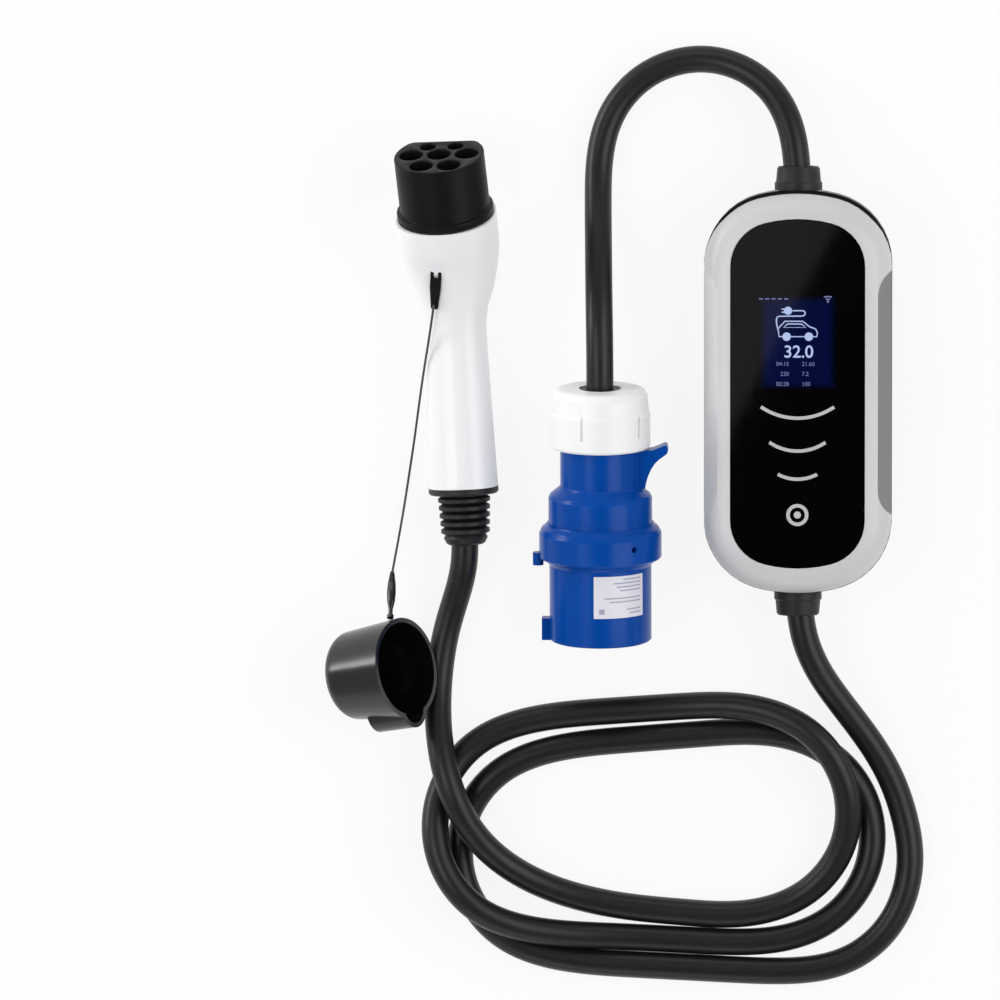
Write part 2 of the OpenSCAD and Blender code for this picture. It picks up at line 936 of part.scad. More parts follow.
// A ring of the handle: sections past the bend turn with the nose
function grip_ring(s, inset) =
    let (
        turn = s[0] <= 0 ? 0 : bend * min(1, 1.6 * s[0] / head_l),
        y = s[0] * cos(turn),
        z = s[0] * sin(turn)
    )
    [for (p = oval(s[1] - inset, s[2] - inset)) [-p.x, y - p.y * sin(turn), z + p.y * cos(turn)]];

// The outside of the handle and head as one solid
module grip_body() {
    difference() {
        skin([for (s = grip_sections) grip_ring(s, 0)]);
        rotate([bend, 0, 0])
            translate([-100, head_l, -100])
                cube(200);
    }
}

// The hollow of the handle, open at both ends
module grip_hollow() {
    first = grip_sections[0] - [grip_over, 0, 0];
    skin([for (s = concat([first], grip_sections)) grip_ring(s, shell_wall)]);
}

// One handle shell, the half on the side of the sign
module grip_shell(side) {
    connector_place()
        difference() {
            intersection() {
                union() {
                    difference() {
                        grip_body();
                        grip_hollow();
                    }
                    intersection() {
                        skin([for (s = grip_sections) grip_ring(s, shell_wall / 2)]);
                        for (p = grip_screw_places)
                            translate([0, p.x, p.y])
                                rotate([0, 90, 0])
                                    cylinder(r = grip_boss_r, h = 60, center = true);
                    }
                }
                translate([side > 0 ? 0 : -100, -200, -100])
                    cube([100, 400, 200]);
            }
            for (p = grip_screw_places)
                translate([0, p.x, p.y])
                    rotate([0, 90, 0]) {
                        cylinder(r = screw_r + fit, h = 24, center = true);
                        translate([0, 0, 9])
                            cylinder(r = screw_head_r + fit, h = 40);
                    }
        }
}

module grip_shell_left() {
    color("#eceaf0")
        grip_shell(-1);
}

module grip_shell_right() {
    color("#eceaf0")
        grip_shell(1);
}

module grip_screws() {
    color("#9a9a9a")
        connector_place()
            for (p = grip_screw_places)
                translate([9, p.x, p.y])
                    rotate([0, -90, 0])
                        screw(screw_head_r, screw_head_h, screw_r, 20);
}

// The D shaped plan of the nose
module nose_plan(r, flat) {
    offset(r = nose_corner_r)
        offset(delta = -nose_corner_r)
            intersection() {
                circle(r, $fn = 96);
                translate([-r, -flat])
                    square([2 * r, 2 * r]);
            }
}

// Bores along the nose at a list of face places
module nose_bores(places, y0, y1, r) {
    for (p = places)
        translate([p.x, 0, p.y])
            rod(y0, y1, r);
}

module connector_nose() {
    color("#1c1c1f")
        nose_place()
            difference() {
                union() {
                    translate([0, nose_tip, 0])
                        rotate([90, 0, 0])
                            linear_extrude(nose_l + eps)
                                nose_plan(nose_d / 2, nose_flat);
                    rod(nose_base, nose_front, flange_d / 2);
                    rod(nose_base - spigot_l, nose_base + eps, spigot_r);
                }
                nose_bores(power_places, cavity_end, nose_tip + 1, power_cavity_r);
                nose_bores(spare_places, cavity_end, nose_tip + 1, power_cavity_r);
                nose_bores(signal_places, cavity_end, nose_tip + 1, signal_cavity_r);
                nose_bores(power_places, nose_base - spigot_l - 1, nose_tip, contact_r);
                nose_bores(signal_places, nose_base - spigot_l - 1, nose_tip, signal_contact_r);
            }
}

module nose_gasket() {
    color("#111112")
        nose_place()
            difference() {
                rod(head_l, nose_base, flange_d / 2);
                rod(head_l - 1, nose_base + 1, spigot_r + fit);
            }
}

// Socket contacts that reach from behind the nose to just inside its face
module socket_contacts(places, outer_r, inner_r) {
    front = nose_tip - 8;
    difference() {
        nose_bores(places, nose_base - spigot_l - contact_back, front, outer_r);
        nose_bores(places, cavity_end, front + 1, inner_r);
    }
}

module power_contacts() {
    color("#c2b280")
        nose_place()
            socket_contacts(power_places, contact_r, contact_bore_r);
}

module signal_contacts() {
    color("#c2b280")
        nose_place()
            socket_contacts(signal_places, signal_contact_r, signal_bore_r);
}

module contact_retainer() {
    color("#3a3a3e")
        nose_place()
            difference() {
                rod(nose_base - spigot_l - 3, nose_base - spigot_l, spigot_r - 1);
                nose_bores(power_places, nose_base - spigot_l - 4, nose_base, contact_r);
                nose_bores(signal_places, nose_base - spigot_l - 4, nose_base, signal_contact_r);
            }
}

module connector_clamp() {
    color("#303134")
        connector_place()
            difference() {
                rod(8 - handle_l, 16 - handle_l, handle_end_r - shell_wall - 0.8);
                rod(7 - handle_l, 17 - handle_l, bore_r);
            }
}

// A point of the nose in the handle's frame: its place on the face and its distance from the bend
function nose_point(p, y) = [p.x, y * cos(bend) - p.y * sin(bend), y * sin(bend) + p.y * cos(bend)];

// Wires from the end of the lead to the back of each contact
module connector_wires() {
    lead_end = 17 - handle_l;
    contact_end = nose_base - spigot_l - contact_back;
    color("#8a4b2a")
        connector_place()
            for (p = concat(power_places, signal_places))
                tube([
                    [0.3 * p.x, lead_end, 0.3 * p.y],
                    [0.4 * p.x, 0.6 * lead_end, 0.3 * p.y],
                    [0.5 * p.x, 0.25 * lead_end, 0.3 * p.y],
                    [0.7 * p.x, -8, 0.5 * p.y],
                    nose_point(p, contact_end - 5),
                    nose_point(p, contact_end - fit),
                ], wire_d / 2, 8);
}

module connector_boot() {
    start = -handle_l;
    ribs_start = start - boot_flange_t;
    pitch_y = (boot_l - boot_flange_t - 7) / boot_ribs;
    tail = start - boot_l;
    rib_points = [
        for (k = [0 : boot_ribs - 1])
            let (y = ribs_start - 1 - k * pitch_y, r = boot_rib_r - 0.25 * k)
            for (q = [[-2.4, 0], [0, 0.3], [0, 0.75], [-2.4, 1]]) [r + q[0], y - q[1] * pitch_y]
    ];
    color("#151516")
        connector_place()
            turned(concat(
                [
                    [bore_r, start + 7], [handle_end_r - shell_wall - 1, start + 7],
                    [handle_end_r - shell_wall - 1, start], [boot_flange_r, start],
                    [boot_flange_r, ribs_start + 1], [boot_flange_r - 1, ribs_start],
                    [boot_rib_r - 2.4, ribs_start],
                ],
                rib_points,
                [
                    [cable_r + 5, tail + 4], [cable_r + 3.5, tail + 1], [cable_r + 2, tail],
                    [bore_r + mouth_flare, tail], [bore_r, tail + mouth_l],
                ]
            ));
}

// The clip on the head that the tether wire is held by, with its forked top
module tether_anchor() {
    rise = atan2(8, 26);
    color("#1b1b1c")
        connector_place()
            difference() {
                translate(anchor_at)
                    rotate([rise, 0, anchor_turn])
                        difference() {
                            hull() {
                                for (q = [[2.2, 13], [2.2, 0], [1.1, -13]], side = [-1, 1])
                                    translate([side * q.x, q.y, -8])
                                        cylinder(r = 1, h = q.y < 0 ? 10.5 : 11.5, $fn = 16);
                            }
                            translate([0, 12, 0])
                                cube([2.6, 12, 30], center = true);
                        }
                grip_body();
            }
}

module tether_wire() {
    color("#3c3c3f")
        tube(tether_route, tether_d / 2, 8);
}

// A long bead that clamps the tether's end to the cap's eye
module tether_ferrule() {
    wire_end = tether_route[len(tether_route) - 1];
    d = cap_eye_at - wire_end;
    l = norm(d);
    neck = tether_d / 2 + 0.6;
    color("#19191a")
        translate(wire_end)
            rotate([0, acos(d.z / l), atan2(d.y, d.x)])
                rotate_extrude()
                    polygon([
                        [0, 0], [neck, 0], [2.4, 0.25 * l], [2.7, 0.45 * l], [2.3, 0.65 * l],
                        [neck, 0.8 * l], [neck, 0.9 * l], [2, 0.94 * l], [2, l], [0, l],
                    ]);
}

// Places the dust cap where it leans on the lead
module cap_place() {
    translate(cap_at)
        rotate([0, 90 - cap_rise, cap_turn])
            children();
}

// Half section of the cap's outside, or of its hollow when it is drawn in by a wall
function cap_section(inset) =
    let (back_r = cap_r - cap_taper - inset, rounding = cap_round - inset)
    concat(
        [[0, inset]],
        arc(back_r - rounding, inset + rounding, rounding, -90, 0, 6),
        [[cap_r - inset, cap_l + (inset > 0 ? 1 : 0)], [0, cap_l + (inset > 0 ? 1 : 0)]]
    );

// The lobe beside the cap's mouth, or its hollow
module cap_lobe(inset) {
    translate([0, -cap_lobe_out, cap_l - cap_lobe_l + 2 * inset])
        cylinder(r = cap_lobe_r - inset, h = cap_lobe_l - (inset > 0 ? 2 * inset - 1 : 0));
}

module dust_cap() {
    color("#141416")
        cap_place()
            difference() {
                union() {
                    rotate_extrude()
                        polygon(cap_section(0));
                    cap_lobe(0);
                }
                rotate_extrude()
                    polygon(cap_section(cap_wall));
                cap_lobe(cap_wall);
            }
}

// Places the plug on the table
module plug_place() {
    translate(plug_at)
        rotate([plug_tilt, 0, 0])
            children();
}

// Moves a shape to a place on the pin circle, at a turn from +X
module at_pin(turn) {
    translate([pin_circle_r * cos(turn), 0, pin_circle_r * sin(turn)])
        children();
}

module plug_shroud() {
    color("#0b43b0")
        plug_place()
            difference() {
                union() {
                    turned([
                        [shroud_r - shroud_wall, 0], [shroud_r - 0.8, 0], [shroud_r, 0.8],
                        [shroud_r, shroud_l - 5], [shroud_r + 2, shroud_l - 2.5],
                        [plug_flange_r - 1, shroud_l - 1], [plug_flange_r, shroud_l],
                        [plug_flange_r, plug_joint - 6], [plug_flange_r - 1.5, plug_joint - 3],
                        [body_r + 1.5, plug_joint - 1], [body_r + 1, plug_joint],
                        [shroud_r - shroud_wall, plug_joint],
                    ]);
                    translate([-shroud_r - 4.5, 0, -4])
                        cube([6, 13, 8]);
                    translate([-plug_flange_r - 0.6, 0, 0])
                        rod(shroud_l - 5.5, shroud_l + 2, 3.2);
                }
                rotate([0, 35, 0])
                    translate([0, shroud_l + 9, plug_flange_r - 4])
                        cylinder(r = 1.8, h = 10);
            }
}

module plug_handle() {
    hook_t = 11;
    hook_tip = [
        [12, 0.8], [14.6, 2], [16, 1.4], [16.6, -0.8], [16, -3], [13.8, -4.8], [11.2, -6.6],
        [8.8, -9], [6.6, -12.4], [4.8, -16.4], [3.6, -20.6],
    ];
    color("#0b43b0")
        plug_place()
            difference() {
                union() {
                    turned([
                        [0, plug_joint], [body_r, plug_joint], [body_r, shoulder_y],
                        [body_r - 1, shoulder_y + 2], [rear_r + 1, rear_y], [rear_r, rear_y + 1.5],
                        [rear_r, rear_end], [thread_r, rear_end], [thread_r, rear_end + thread_l],
                        [0, rear_end + thread_l],
                    ]);
                    translate([0, 0, -hook_t / 2])
                        linear_extrude(hook_t)
                            polygon([
                                [rear_r - 3, rear_end - 2], [rear_r + 7.5, rear_end - 1],
                                for (p = hook_tip) [rear_r + p.x, rear_end + p.y],
                                [rear_r + 3, rear_y], [rear_r - 3, rear_y],
                            ]);
                }
                turned([
                    [0, plug_joint - 1], [body_r - 3, plug_joint - 1], [body_r - 3, shoulder_y - 1],
                    [handle_bore, rear_y - 1], [handle_bore, rear_end + 1], [seal_r, rear_end + 1],
                    [seal_r, rear_end + thread_l + 1], [0, rear_end + thread_l + 1],
                ]);
            }
}

module pin_carrier() {
    color("#20242c")
        plug_place()
            difference() {
                rod(carrier_y, terminal_start, shroud_r - shroud_wall - fit / 2);
                for (t = line_pin_turns)
                    at_pin(t)
                        rod(carrier_y - 1, terminal_start + 1, line_pin_r - pin_root_step);
                at_pin(earth_pin_turn)
                    rod(carrier_y - 1, terminal_start + 1, earth_pin_r - pin_root_step);
            }
}

// A contact pin with a rounded tip, and a thinner root in the carrier
module pin(r) {
    root_r = r - pin_root_step;
    turned([
        [0, pin_start], [r - 1.2, pin_start], [r, pin_start + 1.6], [r, carrier_y],
        [root_r, carrier_y], [root_r, terminal_start + 2], [0, terminal_start + 2],
    ]);
}

module line_pins() {
    color("#c8c8cc")
        plug_place()
            for (t = line_pin_turns)
                at_pin(t)
                    pin(line_pin_r);
}

module earth_pin() {
    color("#c8c8cc")
        plug_place()
            at_pin(earth_pin_turn)
                pin(earth_pin_r);
}

// Radius of the pin at a turn
function pin_r(turn) = turn == earth_pin_turn ? earth_pin_r : line_pin_r;

module plug_terminals() {
    color("#b89a4a")
        plug_place()
            for (t = concat(line_pin_turns, [earth_pin_turn]))
                at_pin(t)
                    difference() {
                        rod(terminal_start, terminal_start + terminal_l, 6);
                        rod(terminal_start - 1, terminal_start + 2, pin_r(t) - pin_root_step);
                    }
}

// Wires from the end of the lead to the terminals
module plug_wires() {
    lead_end = rear_end + 11;
    wire_start = terminal_start + terminal_l;
    color("#8a4b2a")
        plug_place()
            for (t = concat(line_pin_turns, [earth_pin_turn]))
                let (x = cos(t), z = sin(t))
                tube([
                    [pin_circle_r * x, wire_start, pin_circle_r * z],
                    [pin_circle_r * x, wire_start + 10, pin_circle_r * z],
                    [0.7 * pin_circle_r * x, wire_start + 26, 0.7 * pin_circle_r * z],
                    [4.5 * x, lead_end - 10, 4.5 * z],
                    [4.5 * x, lead_end - fit, 4.5 * z],
                ], wire_d / 2, 8);
}

module plug_seal() {
    color("#141416")
        plug_place()
            turned([
                [bore_r, rear_end + thread_l], [seal_r, rear_end + thread_l], [seal_r, nut_end - 6],
                [nut_hole_r - fit, nut_end - 6], [nut_hole_r - fit, nut_end - 0.5], [bore_r, nut_end - 0.5],
            ]);
}

module plug_nut() {
    grooves = 5;
    groove_y = nut_start + 15.5;
    groove_size = [1.6, 15, 2.4];
    color("#f2f2f4")
        plug_place()
            difference() {
                turned([
                    [thread_r + fit, nut_start + fit], [nut_r - 1, nut_start + fit],
                    [nut_r, nut_start + 1.5], [nut_r, nut_start + 20], [nut_r - 0.8, nut_start + 22],
                    [nut_r - 1.6, nut_end - 4],
                    [nut_r - 3.5, nut_end - 0.8], [nut_r - 5.5, nut_end], [nut_hole_r, nut_end],
                    [nut_hole_r, nut_end - 5.8], [thread_r + fit, nut_end - 5.8],
                ]);
                for (k = [0 : grooves - 1])
                    rotate([0, 360 * k / grooves - 20, 0])
                        translate([0, groove_y, nut_r])
                            cube(groove_size, center = true);
            }
}

module plug_label() {
    color("#e6e4ee")
        plug_place()
            rotate([-90, 0, 0])
                rotate([0, 0, -label_start - label_sweep])
                    rotate_extrude(angle = label_sweep)
                        translate([shroud_r, label_y])
                            square([label_t, label_h]);
}

rear_housing();
front_bezel();
housing_seal();
housing_screws();
front_panel();
display_window();
display_module();
display_board();
display_screws();
light_bar_large();
light_bar_medium();
light_bar_small();
light_guide();
touch_key_ring();
touch_key_dot();
touch_post();
power_board();
board_screws();
power_relays();
current_sensor();
power_supply();
filter_capacitors();
mains_terminal();
vehicle_terminal();
controller_chip();
display_ribbon();
mains_gland();
vehicle_gland();
mains_clamp();
vehicle_clamp();
clamp_screws();
mains_wires();
vehicle_wires();
mains_lead();
vehicle_lead();
connector_nose();
nose_gasket();
power_contacts();
signal_contacts();
contact_retainer();
grip_shell_left();
grip_shell_right();
grip_screws();
connector_clamp();
connector_wires();
connector_boot();
tether_anchor();
tether_wire();
tether_ferrule();
dust_cap();
plug_shroud();
plug_handle();
pin_carrier();
line_pins();
earth_pin();
plug_terminals();
plug_wires();
plug_seal();
plug_nut();
plug_label();
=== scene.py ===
# %% [markdown]
# A portable car charger, dressed in Blender
#
# The charger was built as solids first: a control box, a blue industrial plug, a white vehicle
# connector with its dust cap, and the leads between them. This lesson loads those solids as a fixed
# frame and gives them their looks. Nothing is fitted by hand, because the solids and every piece made
# here share one frame, in metres, with the table at height zero.

# %% Load the solids and keep their box
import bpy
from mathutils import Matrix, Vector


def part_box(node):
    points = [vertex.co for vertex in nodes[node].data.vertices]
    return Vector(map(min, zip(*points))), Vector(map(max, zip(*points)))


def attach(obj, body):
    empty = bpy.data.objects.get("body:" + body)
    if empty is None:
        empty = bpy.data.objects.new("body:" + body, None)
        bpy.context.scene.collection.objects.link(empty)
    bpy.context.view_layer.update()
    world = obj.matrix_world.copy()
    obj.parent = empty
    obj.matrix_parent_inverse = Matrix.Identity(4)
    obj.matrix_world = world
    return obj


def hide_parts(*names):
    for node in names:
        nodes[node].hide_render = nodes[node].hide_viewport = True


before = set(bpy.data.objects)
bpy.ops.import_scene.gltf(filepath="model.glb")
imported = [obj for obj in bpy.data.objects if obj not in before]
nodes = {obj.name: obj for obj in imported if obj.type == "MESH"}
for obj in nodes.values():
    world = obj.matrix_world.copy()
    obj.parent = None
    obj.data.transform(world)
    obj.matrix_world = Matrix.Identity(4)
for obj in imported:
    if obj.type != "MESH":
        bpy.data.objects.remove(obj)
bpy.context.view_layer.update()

import math

import bmesh
import bpy
from mathutils import Matrix, Vector

MM = 0.001
scene = bpy.context.scene
scene.view_settings.view_transform = "Standard"

# %% [markdown]
# The camera
#
# The photograph was taken from almost straight above the box, with a long lens that shows hardly any
# perspective: the sides of the box stay parallel. A camera can be aimed with a constraint, but here
# its three axes are known, so they are written into its matrix. The lens is long and the camera far
# away, which keeps near and far pieces at one scale, as in the picture.

# %% Make the camera
LEAN_RIGHT = math.radians(2)
LEAN_UP = math.radians(4)
FRAME_WIDTH = 0.5882
CAMERA_FAR = 8.0
FRAME_CENTRE = (-0.1762, -0.0662)
FRAME_LEVEL = 0.03
SENSOR_WIDTH = 36
SEEN_UP_TO = 50

toward = Vector((math.tan(LEAN_RIGHT), math.tan(LEAN_UP), 1)).normalized()
right = Vector((toward.z, 0, -toward.x)).normalized()
upward = toward.cross(right)

centre = right * FRAME_CENTRE[0] + upward * FRAME_CENTRE[1]
centre += toward * ((FRAME_LEVEL - centre.z) / toward.z)

lens = bpy.data.cameras.new("view")
lens.sensor_width = SENSOR_WIDTH
lens.lens = SENSOR_WIDTH * CAMERA_FAR / FRAME_WIDTH
lens.clip_end = SEEN_UP_TO
camera = bpy.data.objects.new("view", lens)
camera.matrix_world = Matrix((right, upward, toward)).transposed().to_4x4()
camera.location = centre + toward * CAMERA_FAR
scene.collection.objects.link(camera)
scene.camera = camera
print("camera at", tuple(round(v, 3) for v in camera.location), "lens", round(lens.lens))

# %% [markdown]
# The leads
#
# A lead is a fixed length of something heavy and springy. A curve object suits it: a few control
# points make one smooth line, and the bevel gives it its thickness. The points are the ones that the
# solid lead follows, in millimetres, so the curve lies where the solid lies.

# %% Write down the routes
LEAD_D = 0.016
TETHER_D = 0.0014
LAY_Z = 8.2
MAINS_ROUTE = [
    (0, 98, 28), (0, 134, 28), (-4, 162, 24), (-24, 187, 14.5), (-57, 197.5, 8.2),
    (-91, 187.5, 8.2), (-112, 163, 8.2), (-118, 136, 9.5), (-118, 112, 17), (-117.5, 90, 28),
    (-117, 68, 38.5), (-116.5, 46, 46.5), (-116, 24, 50), (-116, 2.5, 47.7), (-116, -20.5, 45),
]
VEHICLE_START = [
    (0, -98, 28), (0, -132, 28), (6, -157, 26), (22, -181, 19), (40, -204, 11.5),
    (55, -228, 8.2), (64, -255, 8.2),
]
VEHICLE_END = [
    (-68, -310, 8.2), (-105, -307, 8.2), (-140, -299, 10), (-167, -286, 15.5), (-187, -269, 23),
    (-200, -248, 31), (-208.5, -224, 30.5), (-212.5, -199, 20), (-212.5, -173, 9.5),
    (-209, -147, 8.2), (-202.5, -126, 11.5), (-196.8, -108, 18), (-195.5, -90, 19.8),
    (-197.8, -42, 21.2),
]
TETHER_ROUTE = [
    (-213.5, 51, 47), (-216, 34, 43), (-219, 18, 33), (-223, -6, 19), (-226.5, -31, 8),
    (-230, -52, 2.4), (-233, -72, 2.4), (-236, -90, 9), (-239, -108, 23),
]
print("points of the mains lead", len(MAINS_ROUTE), "and of the tether", len(TETHER_ROUTE))

# %% [markdown]
# The loops of the long lead are bends of one radius joined by straight runs. Every point could be
# written down, but a few bends say the same and keep the radius even. Where a loop lies on an earlier
# one, its points rise in a long low hump, shaped by a cosine so that it starts and ends level.

# %% Work out the loops
LOOP_R = 64
HUMP_REACH = 100
RUN_PARTS = 3
# Centre, first angle, sweep, steps, place of the crossing and the height of its hump
LOOP_BENDS = [
    (4, -282, 0, 90, 3, (0, 0), 0),
    (-140, -275, -90, 180, 5, (0, 0), 0),
    (-16, -265, 90, 180, 5, (0, 0), 0),
    (-154, -258, -90, 180, 5, (-199, -297), 21),
    (-30, -249, 90, 180, 5, (14, -213), 21),
]


def bend_plan(x, y, first, sweep, steps):
    angles = [math.radians(first - sweep * i / steps) for i in range(steps + 1)]
    return [(x + LOOP_R * math.cos(a), y + LOOP_R * math.sin(a)) for a in angles]


def hump(point, crossing, height):
    far = math.dist(point, crossing)
    if far >= HUMP_REACH:
        return 0
    return height * (1 + math.cos(math.pi * far / HUMP_REACH)) / 2


def straight_run(start, end):
    return [tuple(p + (q - p) * i / RUN_PARTS for p, q in zip(start, end)) for i in range(1, RUN_PARTS)]


def loop_route():
    points, before = [], None
    for *plan, crossing, height in LOOP_BENDS:
        turn = bend_plan(*plan)
        run = straight_run(before, turn[0]) if before else []
        points += [(x, y, LAY_Z + hump((x, y), crossing, height)) for x, y in run + turn]
        before = turn[-1]
    return points


VEHICLE_ROUTE = VEHICLE_START + loop_route() + VEHICLE_END
print("points of the vehicle lead", len(VEHICLE_ROUTE))

# %% [markdown]
# Each cord is one open NURBS spline. At order four it passes smoothly between its points and never
# overshoots, as a stiff lead would lie, and its ends are held to the first and last point. The bevel
# has a depth of one, so a point's radius is half of the cord's thickness in metres.

# %% Lay the three cords
CORD_ORDER = 4
CORD_ROUND = 7
LEAD_STEPS = 10
TETHER_STEPS = 8


def lay_cord(name, route, diameter, steps):
    line = bpy.data.curves.new(name, "CURVE")
    line.dimensions = "3D"
    line.bevel_depth = 1
    line.bevel_resolution = CORD_ROUND
    line.resolution_u = steps
    line.use_fill_caps = True
    spline = line.splines.new("NURBS")
    spline.points.add(len(route) - 1)
    for point, place in zip(spline.points, route):
        point.co = (*[v * MM for v in place], 1)
        point.radius = diameter / 2
    spline.order_u = CORD_ORDER
    spline.use_endpoint_u = True
    cord = bpy.data.objects.new(name, line)
    scene.collection.objects.link(cord)
    return cord


mains_cord = lay_cord("mains_cord", MAINS_ROUTE, LEAD_D, LEAD_STEPS)
vehicle_cord = lay_cord("vehicle_cord", VEHICLE_ROUTE, LEAD_D, LEAD_STEPS)
tether_cord = lay_cord("tether_cord", TETHER_ROUTE, TETHER_D, TETHER_STEPS)
print("laid", mains_cord.name, vehicle_cord.name, tether_cord.name)

# %% [markdown]
# The cords stand for the plain solid leads, which are hidden, and each cord rides on the root body.

# %% Hide the solid leads and attach the cords
CORD_ROLES = [
    (mains_cord, "mains_lead", "cable_black"), (vehicle_cord, "vehicle_lead", "cable_black"),
    (tether_cord, "tether_wire", "tether_steel"),
]
for cord, node, slot in CORD_ROLES:
    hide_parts(node)
    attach(cord, "root")

# %% [markdown]
# Even skins
#
# The solids arrive as triangles, and each face of a rounded piece brings its own normals, so the white
# grip looks like a cut stone. Its mesh may not be changed, but a modifier may follow it. This one is
# built from geometry nodes: it forgets the stored normals, joins the points that share a place and
# shades every edge smooth that turns less than a limit.

# %% Build the smoothing modifier
WELD = 0.00001
SMOOTH_BELOW = 35


def even_skin(limit):
    group = bpy.data.node_groups.new("even_skin_%d" % limit, "GeometryNodeTree")
    for side in ("INPUT", "OUTPUT"):
        group.interface.new_socket("Geometry", in_out=side, socket_type="NodeSocketGeometry")
    kinds = [
        "NodeGroupInput", "GeometryNodeRemoveAttribute", "GeometryNodeMergeByDistance",
        "GeometryNodeSetShadeSmooth", "GeometryNodeSetShadeSmooth", "NodeGroupOutput",
    ]
    chain = [group.nodes.new(kind) for kind in kinds]
    for step, following in zip(chain, chain[1:]):
        group.links.new(step.outputs[0], following.inputs[0])
    _, forget, weld, faces, edges, _ = chain
    forget.inputs["Name"].default_value = "custom_normal"
    weld.inputs["Distance"].default_value = WELD
    faces.domain = "FACE"
    edges.domain = "EDGE"
    turn = group.nodes.new("GeometryNodeInputMeshEdgeAngle")
    gentle = group.nodes.new("FunctionNodeCompare")
    gentle.operation = "LESS_THAN"
    gentle.inputs["B"].default_value = math.radians(limit)
    group.links.new(turn.outputs["Unsigned Angle"], gentle.inputs["A"])
    group.links.new(gentle.outputs["Result"], edges.inputs["Shade Smooth"])
    return group


SKIN = even_skin(SMOOTH_BELOW)
print("skin has", len(SKIN.nodes), "nodes")

# %% [markdown]
# The bezel, the two halves of the white grip and the anchor of the tether are the rounded pieces that
# the light falls on. One node group serves them all, so a change to it reaches each of them.

# %% Smooth the rounded pieces


def smooth(name):
    nodes[name].modifiers.new("skin", "NODES").node_group = SKIN


for name in ("front_bezel", "grip_shell_left", "grip_shell_right", "tether_anchor"):
    smooth(name)
print("smoothed with", SKIN.name)

# %% [markdown]
# Moulded edges are never sharp: on the connector's nose a small round catches a line of light along
# each rim. A bevel modifier makes it, once the flat faces are each one polygon again, which a planar
# decimate does. The skin comes before, to join the points, and after, to shade the new edges.

# %% Round the edges of the nose
EDGE_ROUND = 0.0006
EDGE_SEGMENTS = 3
EDGE_ABOVE = math.radians(40)
FLAT_BELOW = math.radians(0.5)

nose = nodes["connector_nose"]
smooth("connector_nose")
flat = nose.modifiers.new("flats", "DECIMATE")
flat.decimate_type = "DISSOLVE"
flat.angle_limit = FLAT_BELOW
rim = nose.modifiers.new("edges", "BEVEL")
rim.width = EDGE_ROUND
rim.segments = EDGE_SEGMENTS
rim.angle_limit = EDGE_ABOVE
rim.use_clamp_overlap = False
smooth("connector_nose")
print("rounded", nose.name, "with", len(nose.modifiers), "modifiers")

# %% [markdown]
# Finishes
#
# Every finish starts from one Principled shader. A single flat colour looks like a drawing, so each
# one gets a slow drift of its shade, a small drift of its roughness and a fine grain as bump. All of
# these come from noise in object coordinates, which for these pieces are metres, so a grain of half
# a millimetre is a noise scale of about two thousand.

# %% Helpers for noise and drift
NOISE_LOW = 0.3
NOISE_HIGH = 0.7


def shader_of(name):
    finish = bpy.data.materials.new(name)
    finish.use_nodes = True
    tree = finish.node_tree
    return finish, tree, tree.nodes["Principled BSDF"]


def noise(tree, place, scale, detail):
    cloud = tree.nodes.new("ShaderNodeTexNoise")
    cloud.inputs["Scale"].default_value = scale
    cloud.inputs["Detail"].default_value = detail
    tree.links.new(place.outputs["Object"], cloud.inputs["Vector"])
    return cloud.outputs["Fac"]


def drift(tree, cloud, low, high, socket):
    """Lets a number drift between two values."""
    spread = tree.nodes.new("ShaderNodeMapRange")
    spread.inputs["From Min"].default_value = NOISE_LOW
    spread.inputs["From Max"].default_value = NOISE_HIGH
    spread.inputs["To Min"].default_value = low
    spread.inputs["To Max"].default_value = high
    tree.links.new(cloud, spread.inputs["Value"])
    tree.links.new(spread.outputs["Result"], socket)


def shades(tree, cloud, dark, light, socket):
    """Lets a colour drift between two shades."""
    ramp = tree.nodes.new("ShaderNodeValToRGB")
    stops = [(NOISE_LOW, dark), (NOISE_HIGH, light)]
    for element, (position, colour) in zip(ramp.color_ramp.elements, stops):
        element.position = position
        element.color = (*colour, 1)
    tree.links.new(cloud, ramp.inputs["Fac"])
    tree.links.new(ramp.outputs["Color"], socket)


# %% [markdown]
# Nearly all of the charger is moulded plastic or rubber, so one recipe serves all of its finishes, and
# each finish only says its two shades, its range of roughness, and the scale and depth of its grain.
# What is the same all over a surface, such as the specular level, is set on the shader's own socket. A
# finish is linked to the object, not to its mesh, so the solid's mesh stays as it came.

# %% The recipe of a moulded finish
SHADE_SCALE = 18
SHADE_DETAIL = 3
ROUGH_SCALE = 108
ROUGH_DETAIL = 4
GRAIN_DETAIL = 2
GRAIN_STRENGTH = 0.6


def moulded(name, dark, light, rough, grain, depth, **fixed):
    finish, tree, shader = shader_of(name)
    place = tree.nodes.new("ShaderNodeTexCoord")
    shade_cloud = noise(tree, place, SHADE_SCALE, SHADE_DETAIL)
    shades(tree, shade_cloud, dark, light, shader.inputs["Base Color"])
    rough_cloud = noise(tree, place, ROUGH_SCALE, ROUGH_DETAIL)
    drift(tree, rough_cloud, *rough, shader.inputs["Roughness"])
    bump = tree.nodes.new("ShaderNodeBump")
    bump.inputs["Strength"].default_value = GRAIN_STRENGTH
    bump.inputs["Distance"].default_value = depth
    tree.links.new(noise(tree, place, grain, GRAIN_DETAIL), bump.inputs["Height"])
    tree.links.new(bump.outputs["Normal"], shader.inputs["Normal"])
    for socket, value in fixed.items():
        shader.inputs[socket.replace("_", " ")].default_value = value
    return finish


